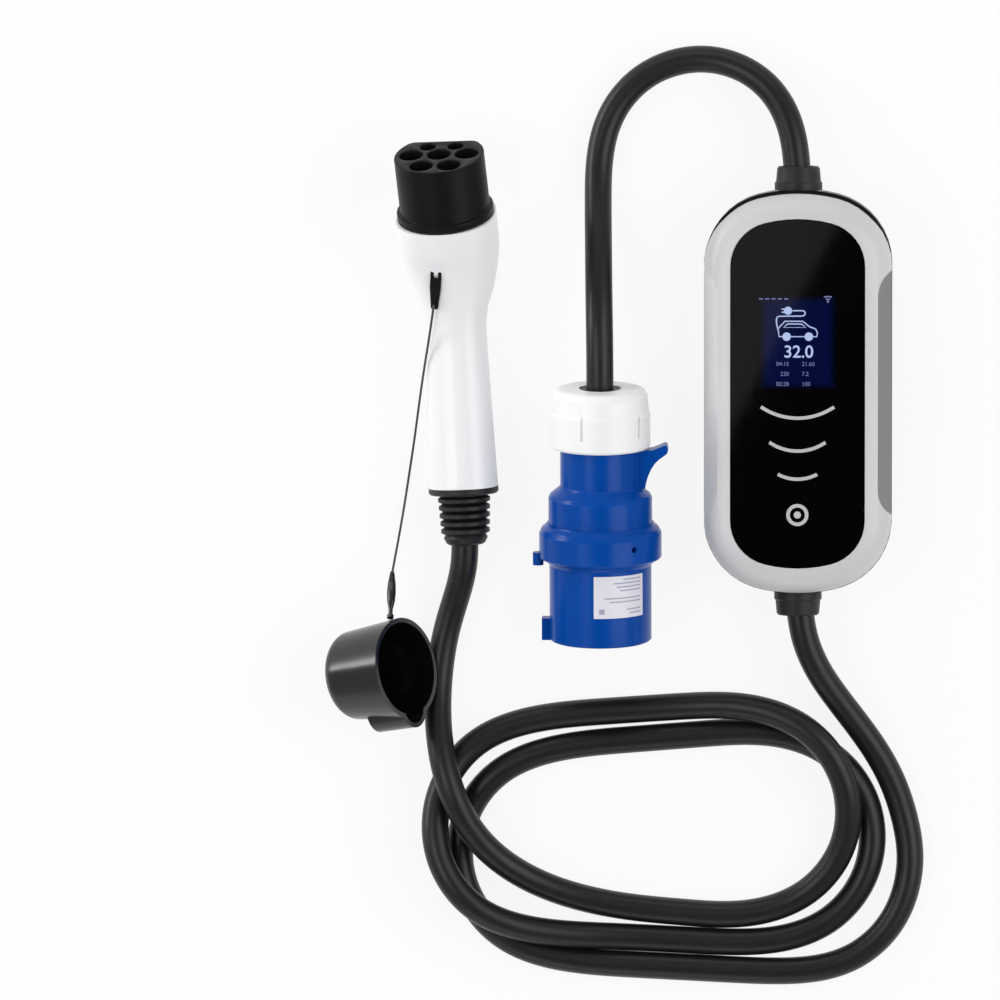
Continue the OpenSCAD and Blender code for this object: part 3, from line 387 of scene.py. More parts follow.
def dress(finish, *names):
    for name in names:
        piece = bpy.data.objects[name]
        if not piece.material_slots:
            piece.data.materials.append(None)
        piece.material_slots[0].link = "OBJECT"
        piece.material_slots[0].material = finish
    print(finish.name, "on", len(names))


# %% [markdown]
# The leads have a satin black jacket, and the strain reliefs and seals are a softer, duller rubber. A
# fine grain breaks up the highlight, and a low specular level keeps the jacket from looking wet. The
# rear shell is black plastic with a finer grain than both.

# %% Rubber and the rear shell
jacket = moulded("lead_jacket", (0.006, 0.006, 0.0065), (0.009, 0.009, 0.0095), rough=(0.35, 0.41),
                 grain=900, depth=0.00004, Specular_IOR_Level=0.32)
dress(jacket, "mains_cord", "vehicle_cord")
rubber = moulded("soft_rubber", (0.005, 0.005, 0.0055), (0.008, 0.008, 0.0085), rough=(0.46, 0.56),
                 grain=1200, depth=0.00005, Specular_IOR_Level=0.4)
dress(rubber, "mains_gland", "vehicle_gland", "connector_boot", "housing_seal", "nose_gasket",
      "plug_seal")
shell_black = moulded("shell_black", (0.006, 0.006, 0.007), (0.009, 0.009, 0.010), rough=(0.36, 0.46),
                      grain=1500, depth=0.00005)
dress(shell_black, "rear_housing", "pin_carrier", "contact_retainer")

# %% [markdown]
# The connector's nose is a dull black and the dust cap a glossy one: the cap has a clear narrow
# highlight, and the nose has hardly any. Two blacks of almost one colour are told apart by their
# roughness and specular level alone.

# %% Nose and cap
nose_black = moulded("nose_black", (0.004, 0.004, 0.0045), (0.006, 0.006, 0.0065), rough=(0.36, 0.42),
                     grain=1600, depth=0.00003, Specular_IOR_Level=0.12)
dress(nose_black, "connector_nose", "tether_anchor")
cap_black = moulded("cap_black", (0.003, 0.003, 0.0035), (0.005, 0.005, 0.0055), rough=(0.17, 0.20),
                    grain=1400, depth=0.00002, Specular_IOR_Level=0.55)
dress(cap_black, "dust_cap", "tether_ferrule")

# %% [markdown]
# The front panel is one sheet of glossy black plastic. It is a mirror for the studio above it, so its
# looks come from the light. The light bars and the touch key are let into it in a dull silver.

# %% Panel and inlays
panel_gloss = moulded("panel_gloss", (0.0005, 0.0005, 0.0006), (0.0007, 0.0007, 0.0009),
                      rough=(0.03, 0.05), grain=400, depth=0.000002)
dress(panel_gloss, "front_panel")
inlay = moulded("silver_inlay", (0.44, 0.44, 0.45), (0.52, 0.52, 0.53), rough=(0.42, 0.5),
                grain=1500, depth=0.00001)
dress(inlay, "light_bar_large", "light_bar_medium", "light_bar_small", "touch_key_ring",
      "touch_key_dot")

# %% [markdown]
# The connector's grip and the plug's nut are white. Their shades lie close together, because a white
# that drifts looks soiled, and they stay under full white, so that the light can still shape them. The
# label on the plug is paler than its ground and slightly violet.

# %% Pale finishes
grip_white = moulded("grip_white", (0.825, 0.82, 0.84), (0.835, 0.83, 0.85), rough=(0.34, 0.37),
                     grain=2600, depth=0.000004)
dress(grip_white, "grip_shell_left", "grip_shell_right")
nut_white = moulded("nut_white", (0.855, 0.855, 0.86), (0.87, 0.87, 0.875), rough=(0.38, 0.42),
                    grain=1500, depth=0.00001)
dress(nut_white, "plug_nut")
label_pale = moulded("label_pale", (0.70, 0.69, 0.76), (0.74, 0.73, 0.80), rough=(0.4, 0.5),
                     grain=1500, depth=0.00001)
dress(label_pale, "plug_label")

# %% [markdown]
# Blue is the colour of plugs for this voltage. A deep blue turns pale wherever it mirrors the white
# table, so its specular level is low: the plug keeps its colour and still has a soft highlight.

# %% Plug blue
plug_blue = moulded("plug_blue", (0.0002, 0.052, 0.30), (0.0004, 0.060, 0.34), rough=(0.22, 0.27),
                    grain=1500, depth=0.00002, Specular_IOR_Level=0.14)
dress(plug_blue, "plug_shroud", "plug_handle")

# %% [markdown]
# Screws, boards and wires are nearly all hidden in the closed shells or deep in the plug. They get
# finishes by the same recipe, so that an opened model looks right as well. There are many of them, so
# a table holds their values, with those of the cap's thin tether, and one loop goes through it. The
# first three are metals.

# %% Metal and inner finishes
# Name, dark shade, light shade, roughness, grain, its depth, metal and the pieces
INNER_FINISHES = [
    ("steel", (0.50, 0.50, 0.50), (0.58, 0.58, 0.58), (0.28, 0.38), 2000, 0.00001, 1.0,
     ["housing_screws", "display_screws", "board_screws", "clamp_screws", "grip_screws"]),
    ("pin_nickel", (0.60, 0.58, 0.54), (0.68, 0.66, 0.62), (0.2, 0.3), 2000, 0.00001, 1.0,
     ["line_pins", "earth_pin", "plug_terminals"]),
    ("contact_brass", (0.58, 0.46, 0.22), (0.66, 0.53, 0.27), (0.25, 0.35), 2000, 0.00001, 1.0,
     ["power_contacts", "signal_contacts", "touch_post"]),
    ("tether_jacket", (0.03, 0.03, 0.032), (0.05, 0.05, 0.053), (0.3, 0.4), 3000, 0.00003, 0.0,
     ["tether_cord"]),
    ("board_green", (0.010, 0.075, 0.030), (0.016, 0.095, 0.040), (0.35, 0.45), 900, 0.00002, 0.0,
     ["power_board", "display_board"]),
    ("dark_plastic", (0.020, 0.020, 0.022), (0.028, 0.028, 0.03), (0.4, 0.5), 1200, 0.00003, 0.0,
     ["power_relays", "controller_chip", "display_module", "mains_clamp", "vehicle_clamp",
      "connector_clamp"]),
    ("yellow_tape", (0.55, 0.38, 0.03), (0.63, 0.45, 0.05), (0.45, 0.55), 900, 0.00002, 0.0,
     ["power_supply", "current_sensor"]),
    ("can_blue", (0.015, 0.05, 0.20), (0.02, 0.07, 0.26), (0.3, 0.4), 900, 0.00002, 0.0,
     ["filter_capacitors"]),
    ("terminal_green", (0.02, 0.20, 0.06), (0.03, 0.25, 0.08), (0.38, 0.46), 900, 0.00003, 0.0,
     ["mains_terminal", "vehicle_terminal"]),
    ("ribbon_grey", (0.42, 0.42, 0.44), (0.50, 0.50, 0.52), (0.5, 0.6), 900, 0.00003, 0.0,
     ["display_ribbon"]),
    ("wire_brown", (0.12, 0.05, 0.02), (0.16, 0.07, 0.03), (0.45, 0.55), 900, 0.00003, 0.0,
     ["mains_wires", "vehicle_wires", "connector_wires", "plug_wires"]),
    ("light_guide", (0.70, 0.72, 0.74), (0.76, 0.78, 0.80), (0.15, 0.25), 900, 0.00001, 0.0,
     ["light_guide"]),
]
for *recipe, metal, names in INNER_FINISHES:
    dress(moulded(*recipe, Metallic=metal), *names)

# %% [markdown]
# Finishes that change from place to place
#
# Some pieces carry two finishes. Three small helpers write sums into a material: one adds a math node,
# one splits the object coordinates, which are metres in the frame, and one mixes two colours.

# %% Helpers for sums and mixes


def work(tree, operation, *values):
    step = tree.nodes.new("ShaderNodeMath")
    step.operation = operation
    for socket, value in zip(step.inputs, values):
        if isinstance(value, (int, float)):
            socket.default_value = value
        else:
            tree.links.new(value, socket)
    return step.outputs[0]


def places(tree):
    place = tree.nodes.new("ShaderNodeTexCoord")
    split = tree.nodes.new("ShaderNodeSeparateXYZ")
    tree.links.new(place.outputs["Object"], split.inputs[0])
    return split.outputs[:]


def lay_over(tree, share, colour):
    """Lays one colour over what the material already shows, as far as share says."""
    target = tree.nodes["Principled BSDF"].inputs["Base Color"]
    mix = tree.nodes.new("ShaderNodeMix")
    mix.data_type = "RGBA"
    tree.links.new(share, mix.inputs["Factor"])
    tree.links.new(target.links[0].from_socket, mix.inputs["A"])
    mix.inputs["B"].default_value = (*colour, 1)
    tree.links.new(mix.outputs["Result"], target)


# %% [markdown]
# The bezel is pearl white, and the scoops at its sides are grey grip faces. Their two shades are
# painted light and painted shade:
# the left one is painted pale, as if lit from the left, and the right one is painted dark grey, as if
# in shade. Each scoop is flat, so the finish can find it: it asks which points lie in its sloping
# plane, face sideways and are no further along the box than the scoop is long.

# %% Pearl bezel
SCOOP_W = 0.008
SCOOP_D = 0.019
SCOOP_DROP = 0.003
SCOOP_HALF = 0.0725
SCOOP_SKIN = 0.0004
SCOOP_FACING = 0.8
# Painted light and painted shade: a pale grey for the left scoop, as if lit, and a dark grey for the
# right one, as if shaded.
SCOOP_PAINTED_LIT = (0.72, 0.72, 0.73)
SCOOP_PAINTED_SHADE = (0.14, 0.14, 0.145)
bezel_low, bezel_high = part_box("front_bezel")
scoop_foot = bezel_high.z - SCOOP_D - SCOOP_DROP

pearl = moulded("pearl_bezel", (0.55, 0.55, 0.565), (0.58, 0.58, 0.595), rough=(0.36, 0.40),
                grain=2400, depth=0.00001)
tree = pearl.node_tree
x, y, z = places(tree)
facing = tree.nodes.new("ShaderNodeSeparateXYZ")
tree.links.new(tree.nodes.new("ShaderNodeNewGeometry").outputs["True Normal"], facing.inputs[0])
sideways = work(tree, "GREATER_THAN", work(tree, "ABSOLUTE", facing.outputs["X"]), SCOOP_FACING)
inward = work(tree, "SUBTRACT", bezel_high.x, work(tree, "ABSOLUTE", x))
slope = work(tree, "MULTIPLY_ADD", inward, SCOOP_D / SCOOP_W, scoop_foot)
off_plane = work(tree, "ABSOLUTE", work(tree, "SUBTRACT", z, slope))
in_plane = work(tree, "LESS_THAN", off_plane, SCOOP_SKIN)
in_length = work(tree, "LESS_THAN", work(tree, "ABSOLUTE", y), SCOOP_HALF)
on_scoop = work(tree, "MULTIPLY", work(tree, "MULTIPLY", in_plane, sideways), in_length)
# The right scoop's mask: the dark grey laid over it is painted shade, and the pale grey on the left
# scoop is painted light.
on_painted_shade = work(tree, "MULTIPLY", on_scoop, work(tree, "GREATER_THAN", x, 0.0))
lay_over(tree, on_scoop, SCOOP_PAINTED_LIT)
lay_over(tree, on_painted_shade, SCOOP_PAINTED_SHADE)
dress(pearl, "front_bezel")
print("bezel from", tuple(bezel_low), "to", tuple(bezel_high))

# %% [markdown]
# The display glows dark blue in the middle and fades into the black panel at its borders, as such
# displays do behind tinted glass. A lit surface would do, but the blue is so dark that a plain colour
# under gloss comes closer. Each point's distance to the nearest border sets how far black covers it.

# %% Dark blue screen
FADE = 0.007
BORDER_BLACK = (0.0005, 0.0005, 0.0008)
screen_low, screen_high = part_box("display_window")
screen_mid = (screen_low + screen_high) / 2

screen = moulded("screen", (0.0008, 0.0030, 0.034), (0.0010, 0.0038, 0.042), rough=(0.03, 0.05),
                 grain=400, depth=0.000002)
tree = screen.node_tree
x, y, _ = places(tree)
from_side = work(tree, "SUBTRACT", screen_high.x, work(tree, "ABSOLUTE", x))
from_middle = work(tree, "ABSOLUTE", work(tree, "SUBTRACT", y, screen_mid.y))
from_end = work(tree, "SUBTRACT", (screen_high.y - screen_low.y) / 2, from_middle)
border = tree.nodes.new("ShaderNodeMapRange")
border.interpolation_type = "SMOOTHSTEP"
border.inputs["From Max"].default_value = FADE
border.inputs["To Min"].default_value = 1
border.inputs["To Max"].default_value = 0
tree.links.new(work(tree, "MINIMUM", from_side, from_end), border.inputs["Value"])
lay_over(tree, border.outputs["Result"], BORDER_BLACK)
dress(screen, "display_window")
print("screen from", tuple(screen_low), "to", tuple(screen_high))

# %% [markdown]
# The skirt of the bezel
#
# Seen from a little above its upper end, the box shows a black rim behind the white bezel: a matt band
# round the foot of the bezel, where it meets the rear shell. It is thin trim, so it is made here: the
# box's outline, drawn as arcs, swept upward as a band a fraction of a millimetre thick. A band in the
# bezel's material would be simpler, but it would share the bezel's gloss, and a glossy wall seen at a
# glancing angle mirrors the white table.

# %% Draw the outline of the box
HALF_W, HALF_L = bezel_high.x, bezel_high.y
END_R = 0.095
CORNER_R = 0.042
END_STEPS = 24
CORNER_STEPS = 20
corner_x = HALF_W - CORNER_R
end_y = HALF_L - END_R
corner_y = end_y + math.sqrt((END_R - CORNER_R) ** 2 - corner_x ** 2)
corner_sweep = math.atan2(corner_y - end_y, corner_x)


def arc(x, y, radius, first, last, steps):
    turns = [first + (last - first) * i / steps for i in range(steps + 1)]
    return [(x + radius * math.cos(a), y + radius * math.sin(a)) for a in turns]


def outline(grow):
    far_sweep = math.pi - corner_sweep
    half = [(HALF_W + grow, y) for y in (-SCOOP_HALF, SCOOP_HALF)]
    half += arc(corner_x, corner_y, CORNER_R + grow, 0, corner_sweep, CORNER_STEPS)
    half += arc(0, end_y, END_R + grow, corner_sweep, far_sweep, END_STEPS)[1:-1]
    half += arc(-corner_x, corner_y, CORNER_R + grow, far_sweep, math.pi, CORNER_STEPS)
    return half + [(-x, -y) for x, y in half]


print("outline points", len(outline(0)))

# %% [markdown]
# The skirt's upper edge passes under the scoops, rises beside them, and at the upper end it climbs a
# little onto the bezel's round. A height for each point of the outline says so, and where it is higher
# than the foot of the round, the band follows the round inward.

# %% Shape the skirt's upper edge
FOOT_MARGIN = 0.0002
SCOOP_MARGIN = 0.0004
SKIRT_LOW = bezel_low.z + FOOT_MARGIN
SKIRT_TOP = 0.0448
UNDER_SCOOP = scoop_foot - SCOOP_MARGIN
RISE_LENGTH = 0.012
CLIMB = 0.0052
CLIMB_FROM = 0.082
CLIMB_LENGTH = 0.024
ROUND_R = 0.0155
ROUND_Z = 0.0445


def eased(share):
    share = min(1, max(0, share))
    return share * share * (3 - 2 * share)


def skirt_top(y):
    beside = eased((abs(y) - SCOOP_HALF) / RISE_LENGTH)
    upper = eased((y - CLIMB_FROM) / CLIMB_LENGTH)
    return UNDER_SCOOP + (SKIRT_TOP - UNDER_SCOOP) * beside + CLIMB * upper


def round_inset(z):
    return ROUND_R - math.sqrt(ROUND_R ** 2 - max(0, z - ROUND_Z) ** 2)


print("skirt's edge from", round(skirt_top(0), 4), "to", round(skirt_top(HALF_L), 4))

# %% [markdown]
# The band is a ring of corners at each point of the outline, outside and inside, joined to the next
# ring by four sided faces. Written as a mesh, it can follow the height exactly, which a curve's bevel
# couldn't. It lies half in the bezel's wall, so no gap shows at its edge.

# %% Sweep the skirt
SKIRT_T = 0.00012
CLIMB_STEPS = 4


def side_of_band(i, levels, grow):
    return [(*outline(grow - round_inset(z))[i], z) for z in levels]


band = bmesh.new()
rings = []
for i, (_, y) in enumerate(outline(0)):
    top = skirt_top(y)
    foot = min(top, ROUND_Z) - WELD
    levels = [SKIRT_LOW] + [foot + (top - foot) * k / CLIMB_STEPS for k in range(CLIMB_STEPS + 1)]
    corners = side_of_band(i, levels, SKIRT_T) + side_of_band(i, levels, -SKIRT_T)[::-1]
    rings.append([band.verts.new(corner) for corner in corners])
for ring, following in zip(rings, rings[1:] + rings[:1]):
    for k in range(len(ring)):
        after = (k + 1) % len(ring)
        band.faces.new((ring[k], following[k], following[after], ring[after]))
bmesh.ops.recalc_face_normals(band, faces=band.faces)
for face in band.faces:
    face.smooth = True
for edge in band.edges:
    edge.smooth = edge.calc_face_angle(0) < math.radians(SMOOTH_BELOW)
print("band of", len(rings), "rings and", len(band.faces), "faces")

# %% [markdown]
# A mesh built by hand becomes a piece once it has an object and a body to ride on. The marks of the
# display and the label are made the same way, so a helper does it. The skirt's black has no specular at
# all, which keeps the white table out of it.

# %% Make the skirt a piece


def piece_of(name, shape):
    mesh = bpy.data.meshes.new(name)
    shape.to_mesh(mesh)
    shape.free()
    piece = bpy.data.objects.new(name, mesh)
    scene.collection.objects.link(piece)
    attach(piece, "root")
    print(name, "points", len(mesh.vertices), "faces", len(mesh.polygons))


piece_of("bezel_skirt", band)
skirt_black = moulded("skirt_black", (0.010, 0.010, 0.011), (0.014, 0.014, 0.015), rough=(0.8, 0.9),
                      grain=1500, depth=0.00005, Specular_IOR_Level=0.0)
dress(skirt_black, "bezel_skirt")

# %% [markdown]
# Marks on the display and the label
#
# A charger's display shows plain numbers and a small drawing. The drawing here is a plain car on a
# cord. It could be painted into the material, but lines as thin raised shapes stay crisp at any
# distance and are part of the mesh. Each line is a curve with a round bevel, drawn in
# millimetres and pressed flat on the window, to a tenth of a millimetre.

# %% Press a curve flat on the window
MARK_Z = screen_high.z
FLATTEN = 0.12
LINE_HALF = 0.42
LINE_ORDER = 3
LINE_STEPS = 6
PRESSED = Matrix.Translation((0, 0, MARK_Z)) @ Matrix.Diagonal((MM, MM, MM * FLATTEN, 1))


def press(shape, marks):
    scene.collection.objects.link(shape)
    bpy.context.view_layer.update()
    seen = shape.evaluated_get(bpy.context.evaluated_depsgraph_get())
    mesh = bpy.data.meshes.new_from_object(seen)
    mesh.transform(PRESSED @ shape.matrix_world)
    marks.from_mesh(mesh)
    curve = shape.data
    bpy.data.objects.remove(shape)
    bpy.data.curves.remove(curve)
    bpy.data.meshes.remove(mesh)


def line_mark(marks, points, kind="POLY", closed=False):
    line = bpy.data.curves.new("line", "CURVE")
    line.dimensions = "3D"
    line.bevel_depth = LINE_HALF
    line.bevel_resolution = 1
    line.resolution_u = LINE_STEPS
    line.use_fill_caps = True
    spline = line.splines.new(kind)
    spline.points.add(len(points) - 1)
    for point, (x, y) in zip(spline.points, points):
        point.co = (x, y, 0, 1)
    spline.use_cyclic_u = closed
    if kind == "NURBS":
        spline.order_u = LINE_ORDER
        spline.use_endpoint_u = True
    press(bpy.data.objects.new("line", line), marks)


# %% [markdown]
# Filled rounds, such as the car's wheels, are flat discs as thick as a line. The numbers are a text
# curve in Blender's own typeface, extruded and pressed like a line. Its size is measured by the line of
# type, of which a digit's height is a share.

# %% Discs and numbers
DISC_CORNERS = 28
DIGIT_SHARE = 0.73


def disc_mark(marks, x, y, radius):
    place = Matrix.Translation((x * MM, y * MM, MARK_Z))
    bmesh.ops.create_cone(marks, cap_ends=True, segments=DISC_CORNERS, radius1=radius * MM,
                          radius2=radius * MM, depth=2 * LINE_HALF * FLATTEN * MM, matrix=place)


def number_mark(marks, words, x, y, height, side="CENTER", weight=0.0):
    text = bpy.data.curves.new("number", "FONT")
    text.body = words
    text.size = height / DIGIT_SHARE
    text.align_x = side
    text.extrude = LINE_HALF
    text.offset = weight
    shape = bpy.data.objects.new("number", text)
    shape.location = (x, y, 0)
    press(shape, marks)


# %% [markdown]
# The upper half of the display holds the car on its cord and the charging current as a large number.
# All of it is one piece, because it has one colour.

# %% Draw the car, its cord and the large number
CAR_BODY = [
    (-10.8, 33.6), (-11.4, 38.4), (-7.4, 42.6), (3, 42.6), (7, 39.4), (10.4, 38.2), (11.6, 36),
    (11.2, 33.6),
]
CAR_GLASS = [(-8.2, 39), (-6, 41), (2.2, 41), (4.8, 39)]
CAR_CORD = [
    (-11.3, 37), (-12.4, 41), (-12.4, 45.4), (-9, 45.6), (-2, 45.6), (4.4, 45.6), (4.4, 48.8),
    (0.5, 48.8), (-3, 48.8),
]
PRONGS = [[(-6, 47.9), (-9.4, 47.9)], [(-6, 49.7), (-9.4, 49.7)]]
WHEELS_AND_PLUG = [(-6.4, 33.6, 2.5), (6.6, 33.6, 2.5), (-5.6, 48.8, 2.4)]
LARGE_PLACE = (0.6, 21.4)
LARGE = 7.4
LARGE_WEIGHT = 0.12
marks = bmesh.new()
line_mark(marks, CAR_BODY, closed=True)
line_mark(marks, CAR_GLASS, closed=True)
line_mark(marks, CAR_CORD, "NURBS")
for prong in PRONGS:
    line_mark(marks, prong)
for disc in WHEELS_AND_PLUG:
    disc_mark(marks, *disc)
number_mark(marks, "32.0", *LARGE_PLACE, LARGE, weight=LARGE_WEIGHT)
piece_of("display_drawing", marks)

# %% [markdown]
# Below it stand three rows of small numbers, such as times, volts and power, in two columns. Along the
# top edge are a row of short bars and a small sign for the radio. They are dimmer than the drawing, so
# they are a piece of their own.

# %% Set the small numbers
SMALL = 2.5
LEFT_COLUMN = -5
RIGHT_COLUMN = 2.4
ROWS = [(16.5, "04:15", "21.60"), (10.6, "230", "7.2"), (4.7, "00:28", "100")]
BARS_X = [-21.5, -17.8, -14.1, -10.4, -6.7]
BARS_Y = 55.7
BAR_HALF = 1.2
RADIO_ARCS = [
    [(15.4, 56.8), (17.7, 57.4), (20, 56.8)], [(16.5, 55.4), (17.7, 55.8), (18.9, 55.4)],
]
RADIO_DOT = (17.7, 54.2, 0.7)
marks = bmesh.new()
for y, left_words, right_words in ROWS:
    number_mark(marks, left_words, LEFT_COLUMN, y, SMALL, "RIGHT")
    number_mark(marks, right_words, RIGHT_COLUMN, y, SMALL, "LEFT")
for x in BARS_X:
    line_mark(marks, [(x - BAR_HALF, BARS_Y), (x + BAR_HALF, BARS_Y)])
for radio_arc in RADIO_ARCS:
    line_mark(marks, radio_arc, "NURBS")
disc_mark(marks, *RADIO_DOT)
piece_of("display_numbers", marks)

# %% [markdown]
# On the real display the marks are lit. Here they are a pale and a dim blue without any glow, because
# in daylight, under tinted glass, such a display is no brighter than print.

# %% Print of the display
drawing_print = moulded("drawing_print", (0.40, 0.50, 0.80), (0.46, 0.56, 0.86), rough=(0.3, 0.4),
                        grain=1500, depth=0.000001)
dress(drawing_print, "display_drawing")
number_print = moulded("number_print", (0.15, 0.16, 0.36), (0.19, 0.20, 0.42), rough=(0.3, 0.4),
                       grain=1500, depth=0.000001)
dress(number_print, "display_numbers")

# %% [markdown]
# The label on the plug holds a few plain bars. It is wrapped round the plug's mouth, so each bar is a
# thin curved plate: a strip of corners at two radii, given by a distance along the plug's axis and an
# angle round it. The plug lies a little tilted, and so does its axis.

# %% Shape a bar of the label
PLUG_MOUTH = Vector((-0.116, -0.1465, 0.02979))
PLUG_TILT = math.radians(6.843)
PLUG_AXIS = Vector((0, math.cos(PLUG_TILT), math.sin(PLUG_TILT)))
PLUG_UP = Vector((0, -math.sin(PLUG_TILT), math.cos(PLUG_TILT)))
PLUG_SIDE = Vector((1, 0, 0))
LABEL_R = 0.0303
PRINT_T = 0.00008
BAR_STEPS = 6


def label_place(along, angle, radius):
    a = math.radians(angle)
    outward = PLUG_SIDE * math.cos(a) + PLUG_UP * math.sin(a)
    return PLUG_MOUTH + PLUG_AXIS * along * MM + outward * radius


def label_bar(marks, along, first, last, height):
    inner, outer, end = LABEL_R - PRINT_T, LABEL_R + PRINT_T, along + height
    corners = [(along, inner), (along, outer), (end, outer), (end, inner)]
    rings = []
    for i in range(BAR_STEPS + 1):
        angle = first + (last - first) * i / BAR_STEPS
        rings.append([marks.verts.new(label_place(d, angle, r)) for d, r in corners])
    for ring, following in zip(rings, rings[1:]):
        for k in range(len(ring)):
            after = (k + 1) % len(ring)
            marks.faces.new((ring[k], ring[after], following[after], following[k]))
    marks.faces.new(rings[0][::-1])
    marks.faces.new(rings[-1])


# %% [markdown]
# The bars stand in groups, each bar of its own length, with one block beside them. Their ink is a dull
# violet grey with hardly any grain, because print is smooth.

# %% Print the label
# Distance along the axis, first and last angle in degrees, height along the axis
LABEL_BARS = [
    (40.6, 38, 62, 0.8), (38.4, 38, 74, 0.8), (36.2, 38, 70, 0.8), (34, 38, 66, 0.8),
    (29.5, 38, 84, 0.8), (27.3, 38, 78, 0.8), (22.6, 38, 58, 0.8), (20.4, 38, 54, 0.8),
    (20.6, 84, 90, 3),
]
marks = bmesh.new()
for bar in LABEL_BARS:
    label_bar(marks, *bar)
bmesh.ops.recalc_face_normals(marks, faces=marks.faces)
piece_of("label_print", marks)
label_ink = moulded("label_ink", (0.30, 0.31, 0.42), (0.38, 0.39, 0.50), rough=(0.4, 0.5),
                    grain=1500, depth=0.000001)
dress(label_ink, "label_print")

# %% [markdown]
# Floor and light
#
# The picture has a bare white ground. A plain plane does for it, far wider than the picture, so that
# no edge of it shows from any side. It lies a fraction of a millimetre under the charger.

# %% Lay the floor
FLOOR_HALF = 9.0
FLOOR_Z = -0.0002
floor_corners = [(-1, -1), (1, -1), (1, 1), (-1, 1)]
floor_mesh = bpy.data.meshes.new("floor")
floor_mesh.from_pydata(
    [(x * FLOOR_HALF, y * FLOOR_HALF, FLOOR_Z) for x, y in floor_corners], [], [(0, 1, 2, 3)],
)
floor = bpy.data.objects.new("floor", floor_mesh)
scene.collection.objects.link(floor)
print("floor", 2 * FLOOR_HALF, "across")

# %% [markdown]
# To the camera and in mirrors the floor glows, so that it stays white with only a trace of the shadows.
# More light on the whole scene would whiten it as well, but it would wash out the charger. The Light
# Path node tells the rays apart: those from the camera, off a gloss or through glass see the glow.

# %% Whiten the floor
FLOOR_WHITE = 0.9
FLOOR_ROUGH = 0.9
FLOOR_GLOW = 0.88
ground, tree, shader = shader_of("ground")
shader.inputs["Base Color"].default_value = (FLOOR_WHITE, FLOOR_WHITE, FLOOR_WHITE, 1)
shader.inputs["Roughness"].default_value = FLOOR_ROUGH
glow = tree.nodes.new("ShaderNodeEmission")
path = tree.nodes.new("ShaderNodeLightPath").outputs
seen = work(tree, "MAXIMUM", path["Is Camera Ray"], path["Is Glossy Ray"])
seen = work(tree, "MAXIMUM", seen, path["Is Transmission Ray"])
mix = tree.nodes.new("ShaderNodeMixShader")
tree.links.new(work(tree, "MULTIPLY", seen, FLOOR_GLOW), mix.inputs["Fac"])
tree.links.new(shader.outputs[0], mix.inputs[1])
tree.links.new(glow.outputs[0], mix.inputs[2])
tree.links.new(mix.outputs[0], tree.nodes["Material Output"].inputs["Surface"])
floor_mesh.materials.append(ground)
print("floor glows by", FLOOR_GLOW)

# %% [markdown]
# The room is pale low down and dark overhead, as in a studio with a black ceiling: the pale part lights
# the sides, and the dark part is what the glossy panel shows. A picture of a studio could light the
# room, but a ramp over the height is enough and needs no file.

# %% Light the room
# Height on a ball round the scene, and the level of grey there
ROOM_LEVELS = [(0.0, 0.50), (0.40, 0.46), (0.80, 0.36), (0.95, 0.02)]
room = bpy.data.worlds.new("room")
scene.world = room
room.use_nodes = True
tree = room.node_tree
place = tree.nodes.new("ShaderNodeTexCoord")
split = tree.nodes.new("ShaderNodeSeparateXYZ")
ramp = tree.nodes.new("ShaderNodeValToRGB")
tree.links.new(place.outputs["Generated"], split.inputs[0])
tree.links.new(split.outputs["Z"], ramp.inputs["Fac"])
tree.links.new(ramp.outputs["Color"], tree.nodes["Background"].inputs["Color"])
for height, _ in ROOM_LEVELS[1:-1]:
    ramp.color_ramp.elements.new(height)
for element, (height, level) in zip(ramp.color_ramp.elements, ROOM_LEVELS):
    element.position = height
    element.color = (level, level, level, 1)
print("room levels", [round(element.position, 2) for element in ramp.color_ramp.elements])

# %% [markdown]
# Five soft boxes shape the charger. A low one on the left draws the highlights on the cap, the plug and
# the connector, a high one beside it and a large one on the right light the upper faces, and two weak
# ones behind and in front fill the ends. Area lamps suit this: their size sets how soft the light is.

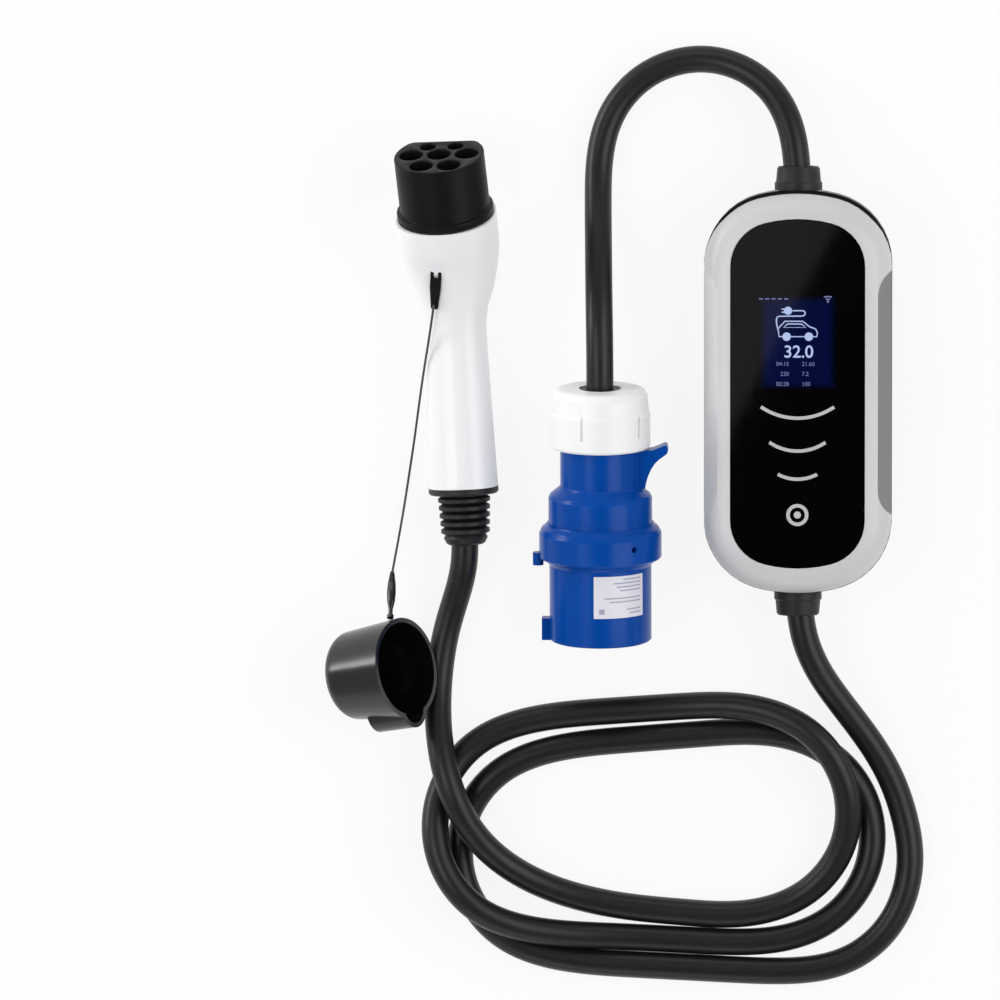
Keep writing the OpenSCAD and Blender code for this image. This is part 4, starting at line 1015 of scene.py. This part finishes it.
# %% Set up the soft boxes
MIDDLE = (-0.15, -0.05, 0)
SOFT_BOXES = [
    ("soft_left", (-2.1, 0.8, 0.35), (1.5, 0.5), 21),
    ("soft_high", (-1.3, -0.1, 2.1), (1.2, 0.9), 14),
    ("soft_right", (1.6, 0.1, 1.9), (2.2, 1.8), 34),
    ("soft_back", (-0.3, 2.2, 1.1), (2.2, 0.9), 9),
    ("soft_front", (-0.6, -2.2, 0.9), (2.0, 0.9), 8),
]


def soft_box(name, place, aim, size, power):
    lamp = bpy.data.lights.new(name, "AREA")
    lamp.shape = "RECTANGLE"
    lamp.size, lamp.size_y = size
    lamp.energy = power
    box = bpy.data.objects.new(name, lamp)
    box.location = place
    box.rotation_euler = (Vector(aim) - Vector(place)).to_track_quat("-Z", "Y").to_euler()
    box.visible_camera = False
    scene.collection.objects.link(box)
    return box


for name, place, size, power in SOFT_BOXES:
    soft_box(name, place, MIDDLE, size, power)
print("soft boxes", len(SOFT_BOXES), "watts", sum(power for *_, power in SOFT_BOXES))

# %% [markdown]
# The black panel shows a faint grey sheen with a straight slanting edge: a dim panel overhead, mirrored
# in the gloss. The law of the mirror says where its edge has to hang: a ray from the camera to a point
# on the panel goes on upward after it, with the same lean.

# %% Hang the dim panel
SHEEN_EDGE = ((0.0212, 0.0959), (-0.0359, -0.0151))
SHEEN_HEIGHT = 1.5
SHEEN_LONG = 1.2
SHEEN_WIDE = 0.6
SHEEN_LEVEL = 0.32
DOWN = Vector((0, 0, -1))
mirror_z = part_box("front_panel")[1].z
eye = camera.location


def mirrored(x, y):
    reach = (SHEEN_HEIGHT - mirror_z) / (eye.z - mirror_z)
    return Vector((x + (x - eye.x) * reach, y + (y - eye.y) * reach, SHEEN_HEIGHT))


first, last = (mirrored(*spot) for spot in SHEEN_EDGE)
along = (last - first).normalized()
across = Vector((along.y, -along.x, 0))
hang = (first + last) / 2 + across * SHEEN_WIDE / 2
sheen_power = SHEEN_LEVEL * math.pi * SHEEN_LONG * SHEEN_WIDE
sheen = soft_box("sheen", hang, hang + DOWN, (SHEEN_LONG, SHEEN_WIDE), sheen_power)
sheen.rotation_euler = (0, 0, math.atan2(along.y, along.x))
print("sheen hangs at", tuple(round(v, 3) for v in hang))
